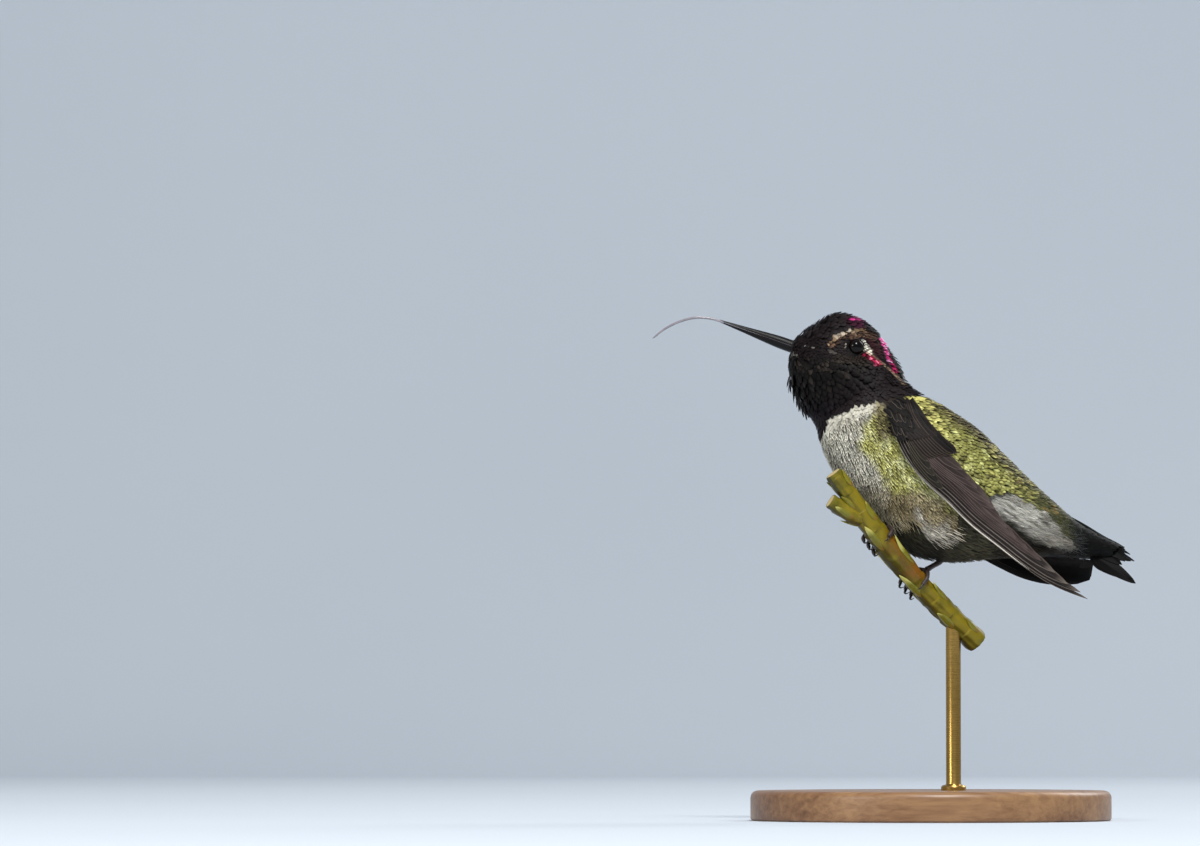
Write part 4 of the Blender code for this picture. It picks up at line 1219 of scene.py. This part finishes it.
FEATHER_SIDES = np.array((-1.0, -0.72, -0.14, 0.0, 0.14, 0.4, 0.7, 1.0, 0.55, 0.0, -0.55))
FEATHER_RELIEF = np.array((0.0, 0.025, 0.035, 0.11, 0.035, 0.03, 0.02, 0.0, -0.05, -0.08, -0.045))
FEATHER_MAP = (FEATHER_SIDES + 1) / 2
LEAST_TAPER = 0.04
UNDERSIDE_PAINTED_SHADE = 0.1
BROADER = {"left": 1.0, "right": 2.9}
OVERLAP_SHADE = 0.30
END_RIM = 0.5
SHAFT_PAINTED_HIGHLIGHT = 1.4


def wing_edges(side, along):
    """Where a wing's leading and trailing edges are, across from the line from wrist to tip."""
    shares = np.clip(np.asarray(along, dtype=float) / WING_LENGTHS[side], 0.0, 1.0)
    return spline(WINGS[side][3], shares), spline(WINGS[side][4], shares)


def wing_spot(side, along, across):
    """The side view's x and z of a place on a wing."""
    wrist, tip = (np.array(WINGS[side][k]) for k in (1, 2))
    run = unit(tip - wrist)
    return wrist + run * along[..., None] + np.array((-run[1], run[0])) * across[..., None]


def wing_face(side):
    """How far out the CAD wing's outer face is, on a grid of shares along and across it."""
    copied = bmesh.new()
    copied.from_mesh(bpy.data.objects["wing_" + side].data)
    bmesh.ops.remove_doubles(copied, verts=copied.verts[:], dist=1e-6)
    shell = BVHTree.FromBMesh(copied)
    copied.free()
    way = WINGS[side][0]
    along = WING_LENGTHS[side] * np.linspace(0.02, 0.98, FACE_GRID[0])
    lead, trail = wing_edges(side, along)
    table = np.full(FACE_GRID, np.nan)
    for j, f in enumerate(np.linspace(0.05, 0.95, FACE_GRID[1])):
        for i, (x, z) in enumerate(wing_spot(side, along, lead * (1 - f) + trail * f)):
            hit = shell.ray_cast(Vector((x * MM, way * 0.04, z * MM)), Vector((0.0, -way, 0.0)))[0]
            if hit:
                table[i, j] = way * hit.y / MM
    for i in range(FACE_GRID[0]):
        good = np.flatnonzero(~np.isnan(table[i]))
        table[i] = np.interp(range(FACE_GRID[1]), good, table[i][good]) if len(good) else table[i - 1]
    return table


WING_FACES = {side: wing_face(side) for side in WINGS}


def wing_point(side, along, across, lift):
    """A place on a wing's outer face, a lift out from it."""
    lead, trail = wing_edges(side, along)
    f = np.clip((across - lead) / np.maximum(trail - lead, 0.3), 0.0, 1.0)
    i = np.clip((along / WING_LENGTHS[side] - 0.02) / 0.96 * (FACE_GRID[0] - 1), 0.0, FACE_GRID[0] - 1.001)
    j = np.clip((f - 0.05) / 0.9 * (FACE_GRID[1] - 1), 0.0, FACE_GRID[1] - 1.001)
    i0, j0 = i.astype(int), j.astype(int)
    fi, fj = i - i0, j - j0
    face = WING_FACES[side]
    out = (face[i0, j0] * (1 - fi) * (1 - fj) + face[i0 + 1, j0] * fi * (1 - fj)
           + face[i0, j0 + 1] * (1 - fi) * fj + face[i0 + 1, j0 + 1] * fi * fj)
    flat = wing_spot(side, along, across)
    return np.stack([flat[:, 0], WINGS[side][0] * (out + lift), flat[:, 1]], axis=1)


def wing_feathers(side, specs, rows, tilt, rise, shading, seed):
    """Feathers for one mesh, each given by its root and tip on the wing and its two half vanes."""
    rng = np.random.default_rng(seed)
    shares = np.linspace(0.0, 1.0, rows) ** 0.9
    c = FEATHER_SIDES
    outer_face = (FEATHER_RELIEF > 0)[None, :, None]
    on_shaft = (np.abs(c) < 0.05)[None, :, None] & outer_face
    overlapped = ((c > -0.9) & (c < -0.6)).astype(float)[None, :, None]
    side_rim = np.maximum((c < -0.9) * 1.0, 0.35 * np.abs(c) ** 8)[None, :, None]
    rim = np.maximum(side_rim, step(shares, 0.93, 1.0)[:, None, None] * END_RIM)
    scale = WING_LENGTHS[side] / FULL_WING
    points, colours, places = [], [], [[], []]
    for start, end, off_start, off_end, lead, trail, point, lift, shade, edge_shade in specs:
        start, end = start * scale, end * scale
        length = end - start
        along = start + length * shares
        across = wing_edges(side, along)[0] + (off_start + (off_end - off_start) * shares ** 1.2)
        taper = np.maximum(np.clip((1 - shares) * length / point, 0.0, 1.0) ** 0.55, LEAST_TAPER)
        body = taper * (0.5 + 0.5 * step(shares, 0.0, 0.2))
        half = np.where(c < 0, c * lead, c * trail)[None, :] * body[:, None] * BROADER[side]
        half = half * (1 + 0.02 * np.sin(40 * shares[:, None] + 7 * rng.random()))
        relief = FEATHER_RELIEF * (0.25 + 0.75 * (1 - shares[:, None])) * np.minimum(1, 0.2 + body[:, None])
        level = lift + relief - tilt * half + rise * (shares[:, None] - 0.6)
        spots = wing_point(side, np.repeat(along, len(c)), (across[:, None] + half).ravel(), level.ravel())
        points.append(spots.reshape(rows, len(c), 3))
        # Painted light and shade: lit along the wing by the row's lights, a painted shadow line just behind
        # each front edge, a painted highlight on the shaft and painted shade on the underside.
        light = np.interp(along / scale, *np.array(shading).T)[:, None, None] * (1 + 0.07 * rng.normal())
        painted = np.broadcast_to(tone(shade), (rows, len(c), 3)) * light
        painted = painted * (1 - overlapped * OVERLAP_SHADE)
        painted = painted + (tone(edge_shade) - painted) * rim
        painted = np.where(on_shaft, painted * SHAFT_PAINTED_HIGHLIGHT + 0.01, painted)
        colours.append(painted * np.where(FEATHER_RELIEF < 0, UNDERSIDE_PAINTED_SHADE, 1.0)[None, :, None])
        places[0].append(0.5 + (start + end) / 2 / WING_LENGTHS[side] * 0.4)
        places[1].append(0.5 + (off_start + off_end) / 2 / WING_LENGTHS[side] * 0.4)
    return np.array(points), shares, np.array(colours), np.array(places)


def wing_specs(side):
    """The feathers of each row: root, tip, two offsets from the leading edge, two half vanes, how
    far the point tapers, lift, colour and the colour of the edge."""
    def width(along):
        lead, trail = wing_edges(side, np.array([along * WING_LENGTHS[side] / FULL_WING]))
        return float(trail[0] - lead[0])

    near = side == "left"
    primaries = []
    for k, tip in enumerate(PRIMARY_TIPS[side]):
        outermost, outer = k == 9, k > 5
        inset = (0.3 if k > 7 else 0.85) if near else (1.5 if k > 6 else 0.85)
        lead = (0.42 if near else 0.95) if outermost else 0.72
        point = (4.5 if k < 8 else 8.0) * (1 if near else 0.4)
        # The far wing's edges are near black: painted shade.
        edge = ("#8E8176" if outer else "#5F514C") if near else "#1E1A18"
        shade = WING_DARKS[k % 2] if outer else WING_BROWNS[k % 4]
        primaries.append((4.2, tip, 0.40 + 0.60 * (9 - k), width(tip) - inset, lead,
                          0.8 if outermost else 1.3, point, 0.0, shade, edge))
    primaries.append((6.5, 42.0, 0.06, 0.22, 0.12, 0.12, 8.0, 0.12) + OUTER_EDGES[side])
    secondaries = [(3.0, tip, 3.6 + 0.28 * k, width(tip) - 0.9 - 0.05 * k, 1.0, 1.15, 3.0, 0.10 + 0.04 * k,
                    WING_BROWNS[(k + 1) % 4], "#5F514D") for k, tip in enumerate(SECONDARY_TIPS)]
    specs = {"primaries": primaries, "secondaries": secondaries}
    for name, (count, *ranges, vanes, point, shades, edge) in COVERTS.items():
        rows = [[first + gain * k for first, gain in ranges] for k in range(count)]
        specs[name] = [(*row[:4], *vanes, point, row[4], shades[k % 2], edge) for k, row in enumerate(rows)]
    specs["lesser_coverts"] = [
        (-1.0 + 0.85 * i, 1.4 + 1.0 * i + 0.35 * math.sin(5.0 * i + 3.0 * j),
         0.4 + 0.85 * j + 0.42 * (i % 2), 0.9 + 0.95 * j + 0.5 * math.sin(4.0 * i + 2.0 * j), 0.5, 0.55, 1.1,
         0.66 - 0.02 * i, COVERT_BLACKS[(i + j) % 2], COVERT_RIMS[(i + 2 * j) % 3 > 0])
        for i in range(6) for j in range(5)]
    return specs


flight_vane, tree, shader = new_material("stiff_flight_vane", Roughness=0.52, Specular_IOR_Level=0.12)
vane = add_node(tree, "UVMap", uv_map="vane")
vane_parts = add_node(tree, "SeparateXYZ", {0: vane.outputs[0]})
from_shaft = add_node(tree, "Math", {0: vane_parts.outputs[1], 1: 0.5}, operation="SUBTRACT")
spread = add_node(tree, "Math", {0: from_shaft.outputs[0]}, operation="ABSOLUTE")
slant = add_node(tree, "Math", {0: spread.outputs[0], 1: -0.22, 2: vane_parts.outputs[0]},
                 operation="MULTIPLY_ADD")
barb_map = add_node(tree, "CombineXYZ", {0: slant.outputs[0], 1: spread.outputs[0]})
barb_lines = add_node(tree, "Mapping", {"Vector": barb_map.outputs[0], "Scale": (95.0, 2.0, 1.0)})
barbs = add_node(tree, "TexNoise", {"Vector": barb_lines.outputs[0], "Scale": 1.0, "Detail": 2.0})
coords = add_node(tree, "TexCoord").outputs["Object"]
wear = add_node(tree, "TexNoise", {"Vector": coords, "Scale": 330.0, "Detail": 4.0})
both = add_node(tree, "Math", {0: barbs.outputs["Fac"], 1: wear.outputs["Fac"]}, operation="ADD")
light = add_node(tree, "MapRange", {"Value": both.outputs[0], "From Min": 0.7, "From Max": 1.3,
                                    "To Min": 0.72, "To Max": 1.28})
link_marking(tree, shader, light, barbs, 0.45, 0.00008)
for side in WINGS:
    for name, specs in wing_specs(side).items():
        points, shares, colours, places = wing_feathers(side, specs, *WING_ROWS[name])
        wing_piece = add_vanes(f"{side}_{name}", points, shares, FEATHER_MAP, colours, places,
                               (np.zeros(len(points)), 1), flight_vane)
        if "coverts" not in name:
            wing_piece.data.uv_layers.remove(wing_piece.data.uv_layers["OFBake"])
        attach(wing_piece, "root")
        if name == "primaries":
            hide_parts("wing_" + side)


# Tail: ten stiff black feathers in a closed, roof-shaped fan, forked because the middle pair
# is shortest. Each lies under its inner neighbour, with a faint green gloss on the middle pair.
# The vanes are dull, and their barbs are drawn coarser than life.
TAIL_ROOT = np.array((33.1, 0.0, 57.5))
TAIL_SLOPE = math.radians(-29.0)
TAIL_ROLL = math.radians(21.0)
TAIL_START = -8.0
TAIL_HALF_WIDTH = (3.0, 6.5)
TAIL_DROP = 6.1
TAIL_FOLD = 1.15
TAIL_BEND = 1.35
TAIL_LONGEST = 10.3
TAIL_TAPER = 4.0
TAIL_HALF_VANES = (0.16, 0.20)
TAIL_ROWS = 24
TAIL_ENDS = {-1.0: (6.6, 8.4, 7.0, 10.7, 7.4), 1.0: (6.6, 8.6, 10.4, 9.0, 6.2)}
TAIL_LINES = {-1.0: (0.09, 0.27, 0.45, 0.66, 0.74), 1.0: (0.09, 0.27, 0.46, 0.62, 0.74)}
TAIL_BLACKS = ("#0A0F0A", "#080A08", "#070707", "#070606", "#080707")
TAIL_EDGE = "#151413"
tail_vane, tree, shader = new_material("black_tail_vane", Roughness=0.5, Specular_IOR_Level=0.06)
vane = add_node(tree, "UVMap", uv_map="vane")
barb_lines = add_node(tree, "Mapping", {"Vector": vane.outputs[0], "Scale": (90.0, 2.0, 1.0)})
barbs = add_node(tree, "TexNoise", {"Vector": barb_lines.outputs[0], "Scale": 1.0, "Detail": 2.0})
light = add_node(tree, "MapRange", {"Value": barbs.outputs["Fac"], "To Min": 0.6, "To Max": 1.5})
link_marking(tree, shader, light, barbs, 0.4, 0.00008)
tail_along = np.array((math.cos(TAIL_SLOPE), 0.0, math.sin(TAIL_SLOPE)))
tail_across = np.array((0.0, math.cos(TAIL_ROLL), math.sin(TAIL_ROLL)))
tail_up = np.cross(tail_along, tail_across)
half_vanes = np.where(FEATHER_SIDES > 0, *TAIL_HALF_VANES)
edge = (np.abs(FEATHER_SIDES) ** 6 * 0.8)[None, :, None]
points, colours = [], []
shares = np.linspace(0.0, 1.0, TAIL_ROWS) ** 0.85
for pair, black in enumerate(TAIL_BLACKS):
    for way in (-1.0, 1.0):
        line, end = TAIL_LINES[way][pair], TAIL_ENDS[way][pair]
        s = TAIL_START + (end - TAIL_START) * shares
        widening = np.maximum(s, 0.0) / TAIL_LONGEST
        half = TAIL_HALF_WIDTH[0] + (TAIL_HALF_WIDTH[1] - TAIL_HALF_WIDTH[0]) * widening
        half = half * (0.42 + 0.58 * step(s, TAIL_START, 1.0))
        taper = np.clip((1 - shares) * (end - TAIL_START) / TAIL_TAPER, 0.0, 1.0) ** 0.6
        vanes = (FEATHER_SIDES * way * half_vanes)[None, :] * np.maximum(taper, LEAST_TAPER)[:, None]
        v = way * line * (0.6 + 0.4 * step(s, -4.0, 3.0))[:, None] + vanes
        fall = TAIL_DROP * np.abs(v) ** TAIL_FOLD * (0.35 + 0.65 * step(s, -4.0, 2.5))[:, None]
        lift = 0.35 - 0.14 * pair + 0.6 * (np.abs(v) - line) + FEATHER_RELIEF[None, :] * 1.1
        out = half[:, None] * np.sin(v * TAIL_BEND) / math.sin(TAIL_BEND)
        spots = (TAIL_ROOT + tail_along * s[:, None, None] + tail_across * out[:, :, None]
                 + tail_up * (lift - fall)[:, :, None])
        painted = tone(black) + (tone(TAIL_EDGE) - tone(black)) * edge * np.ones((TAIL_ROWS, 1, 1))
        points.append(spots if way > 0 else spots[:, ::-1])
        colours.append(painted if way > 0 else painted[:, ::-1])
tail_places = np.stack([0.5 + 0.04 * np.arange(10), np.full(10, 0.5)])
tail_feathers = add_vanes("tail_feathers", np.array(points), shares, FEATHER_MAP, np.array(colours),
                          tail_places, (np.zeros(10), 1), tail_vane)
tail_feathers.data.uv_layers.remove(tail_feathers.data.uv_layers["OFBake"])
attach(tail_feathers, "root")
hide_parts("tail")


# Feet: scaly dark toes wrapped round the twig from a short shank, three forward and one back,
# each ending in a hooked claw of black horn that starts at a fold in the skin. The skin is dull
# and its scutes are about 0.4 mm across; the claws are polished by use.
LEGS = {
    # side: where on the stem, towards the belly, where the shank leaves the belly
    "left": (0.595, (0.54, 0.62, 0.58), (-7.4, -5.2, 57.2)),
    "right": (0.40, (0.70, 0.30, 0.66), (2.0, -0.2, 51.0)),
}
TOES = (
    # how far round the twig, spread along it
    (math.radians(192.0), -1.8), (math.radians(192.0), 0.0), (math.radians(192.0), 1.8),
    (math.radians(-128.0), 0.0),
)
TOE_SPANS = 14
CLAW_SPAN = 11
TOE_RADIUS = 0.42
TOE_RADII = (0.5, TOE_RADIUS, TOE_RADIUS * 0.95, TOE_RADIUS * 0.9, TOE_RADIUS * 0.85)
CLAW_RADII = (0.26, 0.28, 0.2, 0.12, 0.05)
SHANK_RADII = (0.62, 0.5, 0.6, 0.9)
HIP_DEPTH = 1.6
KNUCKLE = 0.10
SCUTES = 2600.0
foot_skin, tree, shader = new_material("scaly_foot_skin", Roughness=0.5)
coords = add_node(tree, "TexCoord").outputs["Object"]
scutes = add_node(tree, "TexVoronoi", {"Vector": coords, "Scale": SCUTES})
scute_tone = add_node(tree, "Mix", {0: scutes.outputs["Distance"], 6: "#4A3A36", 7: "#1A1413"},
                      data_type="RGBA")
relief = add_node(tree, "Bump", {"Height": scutes.outputs["Distance"], "Strength": 0.5,
                                 "Distance": 0.00006}, invert=True)
link_looks(tree, shader, scute_tone.outputs[2], relief)
claw_horn, tree, shader = new_material("black_claw_horn", Roughness=0.3, Coat_Weight=0.2,
                                       Coat_Roughness=0.2)
coords = add_node(tree, "TexCoord").outputs["Object"]
link_looks(tree, shader, two_tones(tree, coords, 1800.0, 2.0, "#0A0808", "#2A2220")[1])


def tube(route, radii, along, around, ripple=0.0, count=0):
    """A round body of changing radius along a route, closed to a point at both ends."""
    def place(share, part):
        rounding = np.sqrt(np.clip(np.minimum(share, 1 - share) * 30, 0.0, 1.0))
        scutes = 1 + ripple * np.abs(np.sin(math.pi * count * share))
        return round_route(route, share, TURN * part, spline(radii, share) * rounding * scutes)
    return wrapped_grid(along, around, place)


for side, (where, towards_belly, belly) in LEGS.items():
    centre, axis = (values[0] for values in route_frame(STEM_ROUTE, np.array([where]))[:2])
    palm = np.array(towards_belly)
    palm = unit(palm - axis * (palm @ axis))
    if np.cross(axis, palm)[1] < 0:
        axis = -axis
    beside_palm = np.cross(axis, palm)
    reach = float(spline(STEM_RADII, np.array([where]))[0]) + TOE_RADIUS + 0.08
    sole = centre + palm * (reach + 0.35)
    skin_spot, outward = nearest_surface(np.array(belly))
    shank_route = (sole + palm * 0.1, sole * 0.6 + skin_spot * 0.4, skin_spot,
                   skin_spot - outward * HIP_DEPTH)
    foot, claws = bmesh.new(), bmesh.new()
    join(foot, tube(shank_route, SHANK_RADII, 40, 14, 0.08, 9))
    for sweep, spread in TOES:
        route = [sole - palm * 0.15]
        for k in range(1, TOE_SPANS + 1):
            f = k / TOE_SPANS
            claw_rise = 0.62 * step(f, 0.76, 0.9) - 0.5 * step(f, 0.9, 1.0)
            out = reach + KNUCKLE * math.sin(f * 3 * math.pi) ** 2 + claw_rise
            route.append(centre + axis * spread * math.sin(0.12 + f * math.pi * 0.6)
                         + (palm * math.cos(sweep * f) + beside_palm * math.sin(sweep * f)) * out)
        join(foot, tube(route[:CLAW_SPAN + 1], TOE_RADII, 44, 14, 0.10, 10))
        join(claws, tube(route[CLAW_SPAN - 1:], CLAW_RADII, 18, 12))
    leg_piece = add_piece(side + "_foot", foot, foot_skin, 60.0)
    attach(leg_piece, "root")
    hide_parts("leg_" + side)
    claw_piece = add_piece(side + "_claws", claws, claw_horn, 60.0)
    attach(claw_piece, "root")
